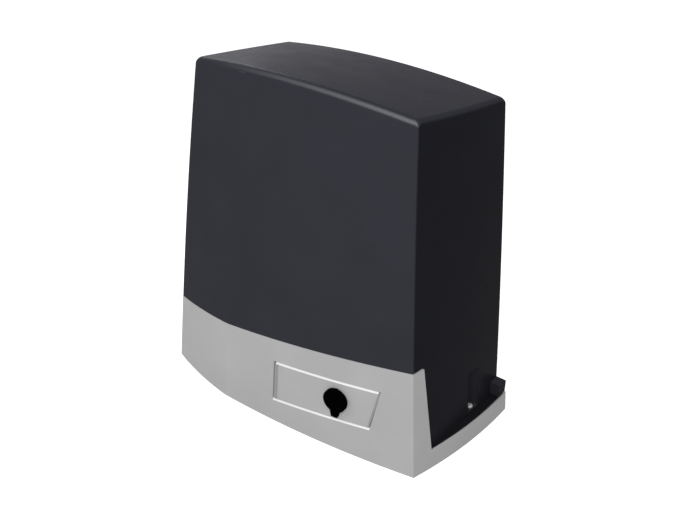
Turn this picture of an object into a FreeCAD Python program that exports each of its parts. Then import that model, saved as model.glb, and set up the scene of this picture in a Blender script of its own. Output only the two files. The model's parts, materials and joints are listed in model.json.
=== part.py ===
import FreeCAD, Part
import math
import os

import Sketcher
from FreeCAD import Placement, Rotation, Vector

# Sliding gate motor, in millimetres. X runs along the gate, Y points at the gate, Z is up.
# The origin is the middle of the four fixing slots, in the plane that the base stands on.
# The front, with the release hatch, faces -Y and the toothed pinion is at the back.

DRIVING_SIZES = {
    # plan of the base: a front wall with one soft ridge left of centre, and bowed sides
    "front_half": 145.0,
    "rear_half": 156.2,
    "base_depth": 157.2,
    "ridge_left": 62.6,
    "ridge_depth": 20.35,
    "ridge_depth_high": 5.4,
    "bow_right": 5.7,
    "bow_right_high": 3.8,
    "bow_left": 2.4,
    "bow_left_high": 0.6,
    "bow_side": 5.1,
    # lean of the walls, per millimetre of height
    "side_draft": 0.0895,
    "face_lean": 0.0092,
    "face_curve": 0.00011,
    # seam between cover and base, which climbs to the right
    "seam_height": 86.5,
    "seam_rise": 0.1228,
    "seam_rise_left": 0.0987,
    "seam_gap": 0.5,
    "running_gap": 0.3,
    # light skirt round the foot
    "skirt_wall": 3.0,
    "flange_height": 19.4,
    "flange_bevel": 2.8,
    "deck_height": 18.0,
    "post_foot": 21.5,
    "post_head": 14.4,
    "post_head_height": 101.0,
    "tab_place": 110.0,
    "tab_inset": 4.25,
    "tab_width": 16.0,
    "tab_thick": 3.0,
    "tab_lip": 4.2,
    # cover
    "cover_wall": 3.0,
    "cover_overhang": 1.8,
    "cover_bow": 2.0,
    "cover_flare": 2.4,
    "cover_flare_height": 210.0,
    "cover_flare_curve": 0.000054,
    "shoulder_height": 314.5,
    "crown": 7.4,
    "top_fall": 0.1,
    "section_mid": 190.0,
    "section_top": 340.0,
    "top_edge_round": 6.0,
    "corner_round": 2.5,
    "well_radius": 9.0,
    "well_wall": 2.5,
    "well_back": 34.0,
    "well_height": 62.0,
    "well_inset": 2.0,
    "notch_half": 32.0,
    "notch_spring": 100.0,
    # foot casting
    "deck_thick": 6.2,
    "slot_half_x": 115.0,
    "slot_half_y": 45.0,
    "slot_length": 24.0,
    "slot_width": 11.0,
    "level_place": 132.0,
    "level_front_inset": 11.25,
    "level_rear_inset": 21.6,
    "level_radius": 3.0,
    "wing_out": 153.2,
    "wing_thick": 12.4,
    "wing_height": 31.8,
    "hollow_side": 6.0,
    "hollow_front": 27.0,
    "hollow_rear": 14.0,
    "flank_rib": 4.0,
    "flank_width": 34.0,
    "flank_end": 8.0,
    # gear train
    "shaft_x": 50.0,
    "shaft_z": 58.0,
    "shaft_radius": 10.0,
    "wheel_teeth": 28.0,
    "wheel_module": 2.5,
    "wheel_middle": 14.0,
    "wheel_width": 20.0,
    "worm_pitch_radius": 10.0,
    "worm_root_radius": 7.4,
    "worm_length": 38.0,
    "tooth_play": 0.35,
    "chamber_radius": 42.0,
    "chamber_wall": 8.0,
    "chamber_front": 8.0,
    "chamber_back": 30.0,
    "plate_front": 64.0,
    "plate_back": 75.0,
    "plate_half": 42.0,
    "shaft_boss_radius": 26.0,
    "shaft_boss_end": 82.0,
    "worm_bore": 16.05,
    "neck_wall": 5.0,
    "bearing_outer": 21.0,
    "bearing_width": 12.0,
    "small_bearing_outer": 16.0,
    "small_bearing_inner": 7.5,
    "small_bearing_width": 9.0,
    "worm_foot": 22.2,
    "pinion_module": 4.0,
    "pinion_teeth": 15.0,
    "pinion_front": 84.0,
    "pinion_width": 22.0,
    "key_width": 5.0,
    "key_depth": 2.5,
    "lid_thick": 7.5,
    "gasket_thick": 0.5,
    "lid_screw_circle": 46.0,
    "lid_screw_radius": 2.0,
    "screw_head": 3.6,
    "filler_x": 25.0,
    "filler_y": 14.0,
    "filler_boss": 8.0,
    "filler_hole": 4.0,
    "washer_radius": 15.0,
    "washer_thick": 2.5,
    "bolt_radius": 4.0,
    "bolt_length": 22.0,
    "bolt_across": 13.0,
    "bolt_head": 5.5,
    # release hatch, lock and its cap
    "hatch_left": -2.4,
    "hatch_right_low": 100.4,
    "hatch_right_high": 108.5,
    "hatch_low": 22.3,
    "hatch_high": 64.0,
    "hatch_rise": 0.106,
    "hatch_gap": 2.4,
    "hatch_wall": 3.0,
    "hatch_rim_depth": 4.8,
    "hatch_rim_width": 3.0,
    "hinge_inset": 8.4,
    "hinge_depth": 3.2,
    "hinge_knuckle": 2.8,
    "hinge_pin": 1.4,
    "lug_reach": 1.2,
    "lug_thick": 4.0,
    "catch_left": 9.0,
    "catch_right": 5.0,
    "catch_drop": 1.5,
    "knuckle_inset": 2.2,
    "web_sink": 1.6,
    "pusher_width": 8.0,
    "pusher_height": 12.0,
    "pusher_sink": 1.6,
    "lock_x": 66.9,
    "lock_z": 52.4,
    "lock_radius": 7.0,
    "lock_length": 20.0,
    "lock_proud": 0.3,
    "lock_seat_wall": 3.5,
    "lock_seat_start": 1.5,
    "lock_seat_depth": 5.4,
    "key_slot_width": 1.8,
    "key_slot_length": 9.0,
    "key_slot_depth": 2.2,
    "nut_wall": 4.0,
    "nut_thick": 4.0,
    "nut_start": 7.2,
    "cam_thick": 2.5,
    "cam_width": 9.0,
    "cam_overlap": 4.0,
    "cap_radius": 11.6,
    "cap_thick": 3.2,
    "cap_gap": 0.6,
    "cap_tab_reach": 17.2,
    "cap_tab_half": 2.7,
    "cap_tab_root": 8.7,
    "cap_pivot_rise": 9.4,
    "rivet_radius": 1.5,
    "rivet_head": 2.6,
    "rivet_head_thick": 0.9,
    "rivet_length": 6.0,
    "rod_radius": 4.0,
    "pusher_length": 9.2,
    "rod_collar_inset": 15.0,
    "rod_collar_width": 3.0,
    "bush_length": 8.0,
    # motor on top of the gear chamber
    "motor_x": 5.0,
    "motor_flange_low": 110.0,
    "motor_flange_thick": 8.0,
    "motor_flange_radius": 56.0,
    "motor_radius": 44.0,
    "motor_fin": 3.0,
    "motor_fins": 20.0,
    "lower_shield": 10.0,
    "stator_length": 60.0,
    "upper_shield": 20.0,
    "tie_circle": 51.0,
    "tie_radius": 2.5,
    "rotor_radius": 27.0,
    "air_gap": 0.5,
    # electrical parts
    "frame_half": 95.0,
    "frame_top": 288.0,
    "frame_thick": 2.0,
    "tray_half": 88.0,
    "tray_low": 216.0,
    "tray_high": 284.0,
    "tray_depth": 42.0,
    "tray_wall": 2.0,
    "board_thick": 1.6,
    "board_standoff": 8.0,
    "terminal_pitch": 32.0,
    "terminal_first": -80.0,
    "terminal_width": 28.0,
    "terminal_height": 9.0,
    "terminal_wall": 2.0,
    "relay_pitch": 22.0,
    "relay_first": -78.0,
    "relay_width": 19.0,
    "relay_height": 15.0,
    "parts_z": 262.0,
    "fuse_z": 246.0,
    "fuse_x": -46.0,
    "fuse_length": 20.0,
    "fuse_radius": 2.6,
    "clip_width": 4.0,
    "clip_height": 7.0,
    "can_length": 16.0,
    "button_x": 64.0,
    "button_radius": 1.8,
    "button_case": 7.0,
    "button_depth": 4.0,
    "trim_x": 44.0,
    "trim_case": 9.0,
    "trim_depth": 5.0,
    "trim_radius": 3.5,
    "toroid_x": 86.0,
    "toroid_y": 6.0,
    "toroid_outer": 30.0,
    "toroid_inner": 11.0,
    "toroid_height": 32.0,
    "capacitor_inset": 23.0,
    "capacitor_radius": 19.0,
    "capacitor_low": 124.0,
    "capacitor_height": 80.0,
    "clip_rise": 30.0,
    "clip_band": 14.0,
    "clip_half": 13.0,
    "clip_sheet": 2.2,
    "switch_z": 118.0,
    "switch_half": 13.0,
    "switch_height": 20.0,
    "lever_reach": 40.0,
    "lever_radius": 2.4,
    "lever_hub": 3.4,
    "lever_pin": 1.5,
    "pivot_inset": 6.0,
    "coil_first": 6.0,
    "coil_pitch": 2.4,
    "contact_width": 5.5,
    "contact_depth": 3.2,
    "gland_x": 45.0,
    "gland_y": 38.0,
    "gland_bore": 6.5,
    "earth_offset_x": 26.0,
    "earth_offset_y": 6.0,
    "earth_radius": 2.0,
}


class Size:
    """A number that also carries its formula, so that it can drive an object's dimension."""

    def __init__(self, value, text):
        self.value = float(value)
        self.text = text

    def __add__(self, other):
        other = as_size(other)
        return Size(self.value + other.value, f"({self.text} + {other.text})")

    def __radd__(self, other):
        return as_size(other) + self

    def __sub__(self, other):
        other = as_size(other)
        return Size(self.value - other.value, f"({self.text} - {other.text})")

    def __rsub__(self, other):
        return as_size(other) - self

    def __mul__(self, other):
        other = as_size(other)
        return Size(self.value * other.value, f"({self.text} * {other.text})")

    def __rmul__(self, other):
        return as_size(other) * self

    def __truediv__(self, other):
        other = as_size(other)
        return Size(self.value / other.value, f"({self.text} / {other.text})")

    def __neg__(self):
        return Size(-self.value, f"(-1 * {self.text})")


def as_size(number):
    """Plain numbers join formulas as they are."""
    if isinstance(number, Size):
        return number
    return Size(number, f"({float(number)!r})")


def root(size):
    """Square root of a size."""
    size = as_size(size)
    return Size(math.sqrt(size.value), f"sqrt({size.text})")


def slope_angle(rise):
    """Angle of a slope given as rise over run, in degrees."""
    return Size(math.degrees(math.atan(rise.value)), f"atan({rise.text})")


document = FreeCAD.newDocument("gate_motor")
sheet = document.addObject("Spreadsheet::Sheet", "sizes")
for row, (alias, number) in enumerate(DRIVING_SIZES.items(), start=1):
    sheet.set(f"A{row}", alias)
    sheet.set(f"B{row}", str(number))
    sheet.setAlias(f"B{row}", alias)
document.recompute()

sub_parts = {}


def size(alias):
    """A driving size, read from the sheet."""
    return Size(float(sheet.get(alias)), f"sizes.{alias}")


def bind(thing, dimension, value):
    """Tie one dimension of an object to its formula."""
    thing.setExpression(dimension, as_size(value).text)


def keep(thing, label):
    """Name a finished sub-part after its node."""
    thing.Label = label
    sub_parts[label] = thing
    return thing


def place(thing, where, turn=None):
    """Put an object at a point whose coordinates are formulas."""
    where = [as_size(number) for number in where]
    turn = turn if turn is not None else Rotation()
    thing.Placement = Placement(Vector(*[number.value for number in where]), turn)
    for axis, number in zip("xyz", where):
        bind(thing, f"Placement.Base.{axis}", number)
    return thing


ALONG = {
    "Z": Rotation(),
    "Y": Rotation(Vector(1, 0, 0), -90),
    "-Y": Rotation(Vector(1, 0, 0), 90),
    "X": Rotation(Vector(0, 1, 0), 90),
}


def new_body(name):
    """An empty body for sketches and features."""
    return document.addObject("PartDesign::Body", name)


def new_sketch(body, name, plane="XY_Plane", lift=0, tilt=0):
    """A sketch on one of the body's own planes, lifted along its normal and leant back."""
    sketch = body.newObject("Sketcher::SketchObject", name)
    for feature in body.Origin.OriginFeatures:
        if feature.Role == plane:
            sketch.AttachmentSupport = [(feature, "")]
    sketch.MapMode = "FlatFace"
    lift = as_size(lift)
    tilt = as_size(tilt)
    sketch.AttachmentOffset = Placement(Vector(0, 0, lift.value), Rotation(Vector(-1, 0, 0), tilt.value))
    bind(sketch, "AttachmentOffset.Base.z", lift)
    if tilt.value:
        bind(sketch, "AttachmentOffset.Rotation.Angle", tilt)
    return sketch


def pin_point(sketch, edge, end, x, y):
    """Hold one end of an edge at a place given by two formulas."""
    for kind, where in (("DistanceX", as_size(x)), ("DistanceY", as_size(y))):
        rule = Sketcher.Constraint(kind, -1, 1, edge, end, where.value)
        index = sketch.addConstraint(rule)
        bind(sketch, f"Constraints[{index}]", where)


def fix_radius(sketch, edge, radius):
    """Give an arc or circle its radius."""
    radius = as_size(radius)
    index = sketch.addConstraint(Sketcher.Constraint("Radius", edge, radius.value))
    bind(sketch, f"Constraints[{index}]", radius)


def draw_circle(sketch, x, y, radius):
    """A circle at a place given by formulas."""
    x, y, radius = as_size(x), as_size(y), as_size(radius)
    middle = Vector(x.value, y.value, 0)
    edge = sketch.addGeometry(Part.Circle(middle, Vector(0, 0, 1), radius.value), False)
    pin_point(sketch, edge, 3, x, y)
    fix_radius(sketch, edge, radius)


def draw_outline(sketch, points, bows=()):
    """A closed outline; bows gives the rise of the arc that leaves a corner, to its right."""
    bows = dict(bows)
    points = [(as_size(x), as_size(y)) for x, y in points]
    flat = [Vector(x.value, y.value, 0) for x, y in points]
    ends = []
    for index, start in enumerate(flat):
        finish = flat[(index + 1) % len(flat)]
        if index not in bows:
            edge = sketch.addGeometry(Part.LineSegment(start, finish), False)
            ends.append((edge, 1, 2))
            continue
        rise = as_size(bows[index])
        chord = finish - start
        aside = Vector(chord.y, -chord.x, 0).normalize()
        peak = (start + finish) * 0.5 + aside * rise.value
        segment = Part.Arc(start, peak, finish)
        edge = sketch.addGeometry(segment, False)
        added = sketch.Geometry[edge]
        forward = added.StartPoint.distanceToPoint(start) < added.StartPoint.distanceToPoint(finish)
        ends.append((edge, 1, 2) if forward else (edge, 2, 1))
    for index, (edge, head, tail) in enumerate(ends):
        following = ends[(index + 1) % len(ends)]
        sketch.addConstraint(Sketcher.Constraint("Coincident", edge, tail, following[0], following[1]))
    for index, (edge, head, tail) in enumerate(ends):
        pin_point(sketch, edge, head, *points[index])
    for index in bows:
        near = points[index]
        far = points[(index + 1) % len(points)]
        fix_bow(sketch, ends[index][0], near, far, as_size(bows[index]))


def fix_bow(sketch, edge, near, far, rise):
    """Shape an arc between two held ends: a half round by its middle, a flatter one by radius."""
    run_x = far[0] - near[0]
    run_y = far[1] - near[1]
    squared = run_x * run_x + run_y * run_y
    if abs(squared.value - 4 * rise.value * rise.value) > 0.001:
        fix_radius(sketch, edge, (squared / 4 + rise * rise) / (2 * rise))
        return
    upright = abs(run_x.value) > abs(run_y.value)
    kind, axis = ("DistanceY", 1) if upright else ("DistanceX", 0)
    middle = (near[axis] + far[axis]) / 2
    index = sketch.addConstraint(Sketcher.Constraint(kind, -1, 1, edge, 3, middle.value))
    bind(sketch, f"Constraints[{index}]", middle)


def draw_box(sketch, left, right, low, high):
    """A rectangle between four formulas."""
    draw_outline(sketch, [(left, low), (right, low), (right, high), (left, high)])


def pad(body, sketch, length, both_ways=False, backwards=False):
    """Raise a sketch into a solid."""
    feature = body.newObject("PartDesign::Pad", sketch.Name + "_pad")
    feature.Profile = sketch
    feature.SideType = "Symmetric" if both_ways else "One side"
    feature.Reversed = backwards
    bind(feature, "Length", length)
    return feature


def pocket(body, sketch, length=None, both_ways=False, backwards=False):
    """Cut a sketch into the solid, by a length or right through, and make sure that it cuts."""
    document.recompute()
    before = body.Shape.Volume
    feature = body.newObject("PartDesign::Pocket", sketch.Name + "_cut")
    feature.Profile = sketch
    feature.SideType = "Symmetric" if both_ways else "One side"
    feature.Reversed = backwards
    if length is None:
        feature.Type = "ThroughAll"
    else:
        bind(feature, "Length", length)
    document.recompute()
    if not body.Shape.Volume < before:
        raise ValueError(f"{sketch.Name} cuts nothing")
    return feature


def loft(body, kind, sketches):
    """A solid or a hollow through several sketches."""
    feature = body.newObject(f"PartDesign::{kind}Loft", sketches[0].Name + "_loft")
    feature.Profile = sketches[0]
    feature.Sections = [(sketch, [""]) for sketch in sketches[1:]]
    return feature


def polar(body, feature, axis, count):
    """Repeat a feature evenly round an axis of the body."""
    pattern = body.newObject("PartDesign::PolarPattern", feature.Name + "_round")
    pattern.Originals = [feature]
    for datum in body.Origin.OriginFeatures:
        if datum.Role == axis:
            pattern.Axis = (datum, [""])
    pattern.Angle = 360
    bind(pattern, "Occurrences", count)
    body.Tip = pattern
    return pattern


def turned(label, profile, where, along="Z"):
    """A piece turned about its own axis from a half profile of radius and height."""
    body = new_body(label)
    sketch = new_sketch(body, label + "_profile", "XZ_Plane")
    draw_outline(sketch, profile)
    feature = body.newObject("PartDesign::Revolution", label + "_turned")
    feature.Profile = sketch
    feature.ReferenceAxis = (sketch, ["V_Axis"])
    feature.Angle = 360
    place(body, where, ALONG[along])
    return body


def ring(label, inner, outer, low, high, where, along="Z"):
    """A plain ring or, with no inner radius, a plain disc."""
    profile = [(inner, low), (outer, low), (outer, high), (inner, high)]
    return turned(label, profile, where, along)


def cylinder(name, radius, height, where, along="Z"):
    """A plain cylinder from its foot."""
    thing = document.addObject("Part::Cylinder", name)
    bind(thing, "Radius", radius)
    bind(thing, "Height", height)
    return place(thing, where, ALONG[along])


def block(name, lengths, where, turn=None):
    """A plain block from its lowest corner."""
    thing = document.addObject("Part::Box", name)
    for dimension, length in zip(("Length", "Width", "Height"), lengths):
        bind(thing, dimension, length)
    return place(thing, where, turn)


def hexagon(name, across, height, where, along="Z"):
    """A hexagonal head or nut, by its width across flats."""
    thing = document.addObject("Part::Prism", name)
    thing.Polygon = 6
    bind(thing, "Circumradius", as_size(across) / root(3))
    bind(thing, "Height", height)
    return place(thing, where, ALONG[along])


def fused(name, things):
    """Several shapes joined into one."""
    joined = document.addObject("Part::MultiFuse", name)
    joined.Shapes = things
    return joined


def cut(name, base, tool):
    """One shape less another."""
    thing = document.addObject("Part::Cut", name)
    thing.Base = base
    thing.Tool = tool
    return thing


def shared(name, things):
    """What several shapes have in common."""
    thing = document.addObject("Part::MultiCommon", name)
    thing.Shapes = things
    return thing


def group(label, things):
    """Separate solids kept in one node."""
    compound = document.addObject("Part::Compound", label)
    compound.Links = things
    return keep(compound, label)


# heights and places that many pieces share
FLANGE = size("flange_height")
DECK = size("deck_height")
REAR = size("base_depth") / 2
CORNER_Y = size("ridge_depth") - REAR
GAP = size("running_gap")
SHAFT_X = size("shaft_x")
SHAFT_Z = size("shaft_z")
WORM_X = SHAFT_X - size("wheel_module") * size("wheel_teeth") / 2 - size("worm_pitch_radius")
WHEEL_Y = size("wheel_middle")
MOTOR_LOW = size("motor_flange_low") + size("motor_flange_thick")
STATOR_LOW = MOTOR_LOW + size("lower_shield")
STATOR_HIGH = STATOR_LOW + size("stator_length")
MOTOR_HIGH = STATOR_HIGH + size("upper_shield")
PLATE_BACK = size("plate_back")
FRAME_Y = size("plate_front") - size("frame_thick")


def half_width(height):
    """Half the width between the front corners at a height."""
    return size("front_half") - size("side_draft") * height


def corner_y(height):
    """Where the front corners stand at a height: the face leans back and curves."""
    lean = size("face_lean") * height
    return CORNER_Y + lean + size("face_curve") * height * height


def blend(low, high, height):
    """A size that changes evenly from the ground to the highest section."""
    return size(low) + (size(high) - size(low)) * height / size("section_top")


def cover_flare(height):
    """How much wider the cover is at its rear than at its front, which is most at mid height."""
    off = height - size("cover_flare_height")
    return size("cover_flare") - size("cover_flare_curve") * off * off


def form_outline(sketch, height, inset, flared):
    """Plan of the product at a height, pulled in by an inset; the foot flares to its rear."""
    half = half_width(height)
    shrink = half / size("front_half")
    face = corner_y(height) + inset
    ridge_x = -(size("ridge_left") * shrink)
    ridge_y = face - blend("ridge_depth", "ridge_depth_high", height)
    rear_x = size("rear_half") * shrink if flared else half + cover_flare(height)
    rear_y = REAR if flared else REAR + size("cover_overhang")
    side_bow = size("bow_side") if flared else size("cover_bow")
    points = [
        (-(half - inset), face),
        (ridge_x, ridge_y),
        (half - inset, face),
        (rear_x - inset, rear_y - inset),
        (-(rear_x - inset), rear_y - inset),
    ]
    bows = {
        0: blend("bow_left", "bow_left_high", height),
        1: blend("bow_right", "bow_right_high", height),
        2: side_bow,
        4: side_bow,
    }
    draw_outline(sketch, points, bows)


def form_sections(body, name, heights, inset, flared):
    """Plans of the product at several heights, as sketches of one body."""
    sketches = []
    for index, height in enumerate(heights):
        sketch = new_sketch(body, f"{name}_{index}", "XY_Plane", height)
        form_outline(sketch, height, inset, flared)
        sketches.append(sketch)
    return sketches


FAR = 2 * size("rear_half")
SKIRT_HIGH = size("seam_height") + size("seam_rise") * size("front_half") + 20


def seam_line(lift):
    """The seam across the front, from far left by the ridge to far right, and a lift above it."""
    ridge = -size("ridge_left")
    bend = size("seam_height") + size("seam_rise") * ridge + lift
    return [
        (-FAR, bend - size("seam_rise_left") * (FAR + ridge)),
        (ridge, bend),
        (FAR, size("seam_height") + size("seam_rise") * FAR + lift),
    ]


def post_y(height):
    """Rear edge of the corner post, which narrows as it rises."""
    foot = CORNER_Y + size("post_foot")
    head = CORNER_Y + size("post_head")
    run = size("post_head_height") - FLANGE
    return foot + (head - foot) * (height - FLANGE) / run


def hatch_corners(grow):
    """Corners of the release hatch seen from the front; grow pulls them in when negative."""
    left = size("hatch_left") - grow
    right_low = size("hatch_right_low") + grow
    right_high = size("hatch_right_high") + grow
    return [
        (left, hatch_foot(left) - grow),
        (right_low, hatch_foot(right_low) - grow),
        (right_high, hatch_head(right_high) + grow),
        (left, hatch_head(left) + grow),
    ]


def hatch_foot(x):
    """Height of the hatch opening's lower edge."""
    return size("hatch_low") + size("hatch_rise") * x


def hatch_head(x):
    """Height of the hatch opening's upper edge."""
    return size("hatch_high") + size("hatch_rise") * x


def wall_y(x, height):
    """The front wall's outer face at a place and height, right of the ridge or left of it."""
    x = as_size(x)
    half = half_width(height)
    ridge_x = -(size("ridge_left") * half / size("front_half"))
    ridge_drop = blend("ridge_depth", "ridge_depth_high", height)
    if x.value > ridge_x.value:
        part = (x - ridge_x) / (half - ridge_x)
        bow = blend("bow_right", "bow_right_high", height)
    else:
        part = (ridge_x - x) / (half + ridge_x)
        bow = blend("bow_left", "bow_left_high", height)
    return corner_y(height) - ridge_drop + ridge_drop * part - 4 * bow * part * (1 - part)


def front_y(x):
    """The front wall's outer face at the height of the lock."""
    return wall_y(x, size("lock_z"))


HINGE_X = size("hinge_inset")
HINGE_Y = front_y(HINGE_X) + size("hinge_depth")
HINGE_TOP = hatch_head(HINGE_X) + size("hatch_rim_width")
LOCK_Y = front_y(size("lock_x"))
ROD_FRONT = -front_y(SHAFT_X) - size("pusher_length") - 1
TAB_Y = CORNER_Y + size("tab_inset")
CAPACITOR_X = size("frame_half") - size("capacitor_inset")


def build_skirt():
    """Light skirt: front wall up to the seam, corner posts and a low flange all round."""
    body = new_body("skirt_body")
    outer = form_sections(body, "skirt_outer", [as_size(0), SKIRT_HIGH], as_size(0), True)
    loft(body, "Additive", outer)
    wall = size("skirt_wall")
    inner = form_sections(body, "skirt_inner", [as_size(0), SKIRT_HIGH], wall, True)
    loft(body, "Subtractive", inner)
    above = new_sketch(body, "above_seam", "XZ_Plane")
    draw_outline(above, seam_line(as_size(0)) + [(FAR, 2 * FAR), (-FAR, 2 * FAR)])
    pocket(body, above, both_ways=True)
    side = new_sketch(body, "side_window", "YZ_Plane")
    draw_outline(side, [(post_y(FLANGE), FLANGE), (FAR, FLANGE), (FAR, FAR), (post_y(FAR), FAR)])
    pocket(body, side, both_ways=True)
    for side_name, sign in (("right", 1), ("left", -1)):
        tab = new_sketch(body, f"tab_{side_name}", "XY_Plane", DECK)
        middle = sign * size("tab_place")
        half = size("tab_width") / 2
        root_y = wall_y(sign * (size("tab_place") + half), DECK) + 1
        draw_box(tab, middle - half, middle + half, root_y, TAB_Y + size("tab_lip"))
        pad(body, tab, size("tab_thick"))
        hole = new_sketch(body, f"tab_hole_{side_name}", "XY_Plane", DECK)
        draw_circle(hole, middle, TAB_Y, size("lid_screw_radius") + GAP)
        pocket(body, hole, size("tab_thick"), backwards=True)
    add_hinge_lugs(body)
    rear = new_sketch(body, "rear_screw_holes", "XZ_Plane", -REAR)
    for sign in (1, -1):
        draw_circle(rear, sign * size("tab_place"), DECK / 2, size("lid_screw_radius") + GAP)
    pocket(body, rear, size("skirt_wall") + 1, backwards=True)
    whole = fused("skirt_whole", [body, opening_frame()])
    opening = hatch_prism("hatch_opening", as_size(0))
    pin_high = HINGE_TOP + size("lug_thick") - DECK
    pin_room = cylinder("pin_room", size("hinge_pin") + 0.02, pin_high, (HINGE_X, HINGE_Y, DECK))
    keep(cut("base_skirt", whole, fused("skirt_cuts", [opening, flange_bevel(), pin_room])), "base_skirt")


def hatch_prism(name, grow):
    """A prism through the front wall with the outline of the release hatch."""
    prism = new_body(name)
    face = new_sketch(prism, name + "_face", "XZ_Plane", size("base_depth") / 4)
    draw_outline(face, hatch_corners(grow))
    pad(prism, face, size("base_depth") / 4 + 10)
    return prism


def wall_shell(name, depth):
    """The product's wall, from its outer face to a depth."""
    body = new_body(name)
    loft(body, "Additive", form_sections(body, name + "_out", [as_size(0), SKIRT_HIGH], as_size(0), True))
    loft(body, "Subtractive", form_sections(body, name + "_in", [as_size(0), SKIRT_HIGH], depth, True))
    return body


def opening_frame():
    """A deeper frame round the hatch opening, so that its reveal closes the gap to the eye."""
    shell = wall_shell("frame_shell", size("hatch_rim_depth"))
    zone = hatch_prism("frame_zone", size("hatch_rim_width"))
    return shared("opening_frame", [shell, zone])


def flange_bevel():
    """Slope on the flange's inner top edge, which leads the skirt over the casting."""
    depth = size("flange_bevel")
    wall = size("skirt_wall")
    body = new_body("bevel_form")
    sections = []
    for index, (level, inset) in enumerate(((FLANGE - depth, wall), (FLANGE + 1, wall - depth - 1))):
        sketch = new_sketch(body, f"bevel_{index}", "XY_Plane", level)
        form_outline(sketch, FLANGE, inset, True)
        sections.append(sketch)
    loft(body, "Additive", sections)
    reach = post_y(FLANGE)
    behind = block("bevel_zone", (2 * FAR, 2 * REAR, depth + 2), (-FAR, reach, FLANGE - depth))
    return shared("flange_bevel", [body, behind])


def add_hinge_lugs(body):
    """Two lugs behind the front wall for the hatch's pin, and the catch for its lock."""
    half = size("hinge_knuckle") + 1
    thick = size("lug_thick")
    for name, level in (("low", DECK + GAP), ("high", HINGE_TOP)):
        lug = new_sketch(body, f"hinge_lug_{name}", "XY_Plane", level)
        draw_box(lug, HINGE_X - half, HINGE_X + half, HINGE_Y - size("lug_reach"), HINGE_Y + half)
        pad(body, lug, thick)
    catch = new_sketch(body, "lock_catch", "XY_Plane", DECK + GAP)
    back = LOCK_Y + size("lock_length") - 1
    wall = front_y(size("lock_x")) + size("skirt_wall") - 2
    draw_box(catch, size("lock_x") - size("catch_left"), size("lock_x") + size("catch_right"), wall, back)
    pad(body, catch, catch_top() - DECK - GAP)


def catch_top():
    """The catch stops a little below the hatch opening's lower edge."""
    return hatch_foot(size("lock_x")) - size("catch_drop")


def build_hatch():
    """Release hatch: a piece of the front wall on a hinge, with a pusher and a lock seat behind."""
    gap = size("hatch_gap")
    rim_width = size("hatch_rim_width")
    shell = wall_shell("hatch_skin", size("hatch_wall"))
    skin = shared("hatch_panel", [shell, hatch_prism("hatch_outline", -gap)])
    outside = hatch_prism("hatch_rim_outside", -gap)
    inside = hatch_prism("hatch_rim_inside", -(gap + rim_width))
    ring_zone = cut("hatch_rim_zone", outside, inside)
    rim = shared("hatch_rim", [wall_shell("hatch_deep_skin", size("hatch_rim_depth")), ring_zone])
    knuckle_low = hatch_foot(HINGE_X) + gap + size("knuckle_inset")
    knuckle_high = hatch_head(HINGE_X) - gap - size("knuckle_inset")
    barrel = cylinder(
        "hatch_knuckle", size("hinge_knuckle"), knuckle_high - knuckle_low, (HINGE_X, HINGE_Y, knuckle_low)
    )
    web = block(
        "hatch_web",
        (size("hinge_knuckle") + 3, 2.2, knuckle_high - knuckle_low),
        (HINGE_X, HINGE_Y - size("hinge_depth") + size("web_sink"), knuckle_low),
    )
    width = size("pusher_width")
    tall = size("pusher_height")
    root_y = front_y(SHAFT_X) + size("pusher_sink")
    pusher = block(
        "hatch_pusher",
        (width, -ROD_FRONT - GAP - root_y, tall),
        (SHAFT_X - width / 2, root_y, SHAFT_Z - tall / 2),
    )
    seat_radius = size("lock_radius") + size("lock_seat_wall")
    seat = lock_piece("lock_seat", seat_radius, -size("lock_seat_start"), size("lock_seat_depth"))
    solid = fused("hatch_solid", [skin, rim, barrel, web, pusher, seat])
    pin_hole = cylinder("hatch_pin_hole", size("hinge_pin") + 0.1, 200, (HINGE_X, HINGE_Y, 0))
    through = 2 * size("lock_length")
    lock_hole = lock_piece("lock_hole", size("lock_radius") + 0.1, through / 4, through)
    rivet_rise = size("cap_pivot_rise")
    rivet_hole = lock_piece("rivet_hole", size("rivet_radius") + 0.02, through / 4, through, rivet_rise)
    holes = fused("hatch_holes", [pin_hole, lock_hole, rivet_hole])
    keep(cut("release_hatch", solid, holes), "release_hatch")
    pin_low = DECK + GAP
    pin_high = HINGE_TOP + size("lug_thick")
    keep(
        cylinder("hatch_pin", size("hinge_pin"), pin_high - pin_low, (HINGE_X, HINGE_Y, pin_low)),
        "hatch_pin",
    )


def lock_angle():
    """How far the front wall turns away from square at the lock, in degrees."""
    step = 1.0
    near = front_y(size("lock_x") - step).value
    far = front_y(size("lock_x") + step).value
    return math.degrees(math.atan2(far - near, 2 * step))


def lock_turn_rotation():
    """Turns +Z onto the line that runs into the lock from outside."""
    return Rotation(Vector(0, 0, 1), lock_angle()).multiply(ALONG["Y"])


def lock_point(outwards, rise=0):
    """A point on the lock's axis, so far out of the front wall, and raised."""
    sideways = math.sin(math.radians(lock_angle()))
    forwards = math.cos(math.radians(lock_angle()))
    outwards = as_size(outwards)
    return (
        size("lock_x") + outwards * sideways,
        LOCK_Y - outwards * forwards,
        size("lock_z") + rise,
    )


def lock_piece(name, radius, outwards, length, rise=0):
    """A round piece on the lock's axis, from a distance outside the wall inwards."""
    thing = cylinder(name, radius, length, lock_point(outwards, rise), "Y")
    thing.Placement.Rotation = lock_turn_rotation()
    return thing


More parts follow.
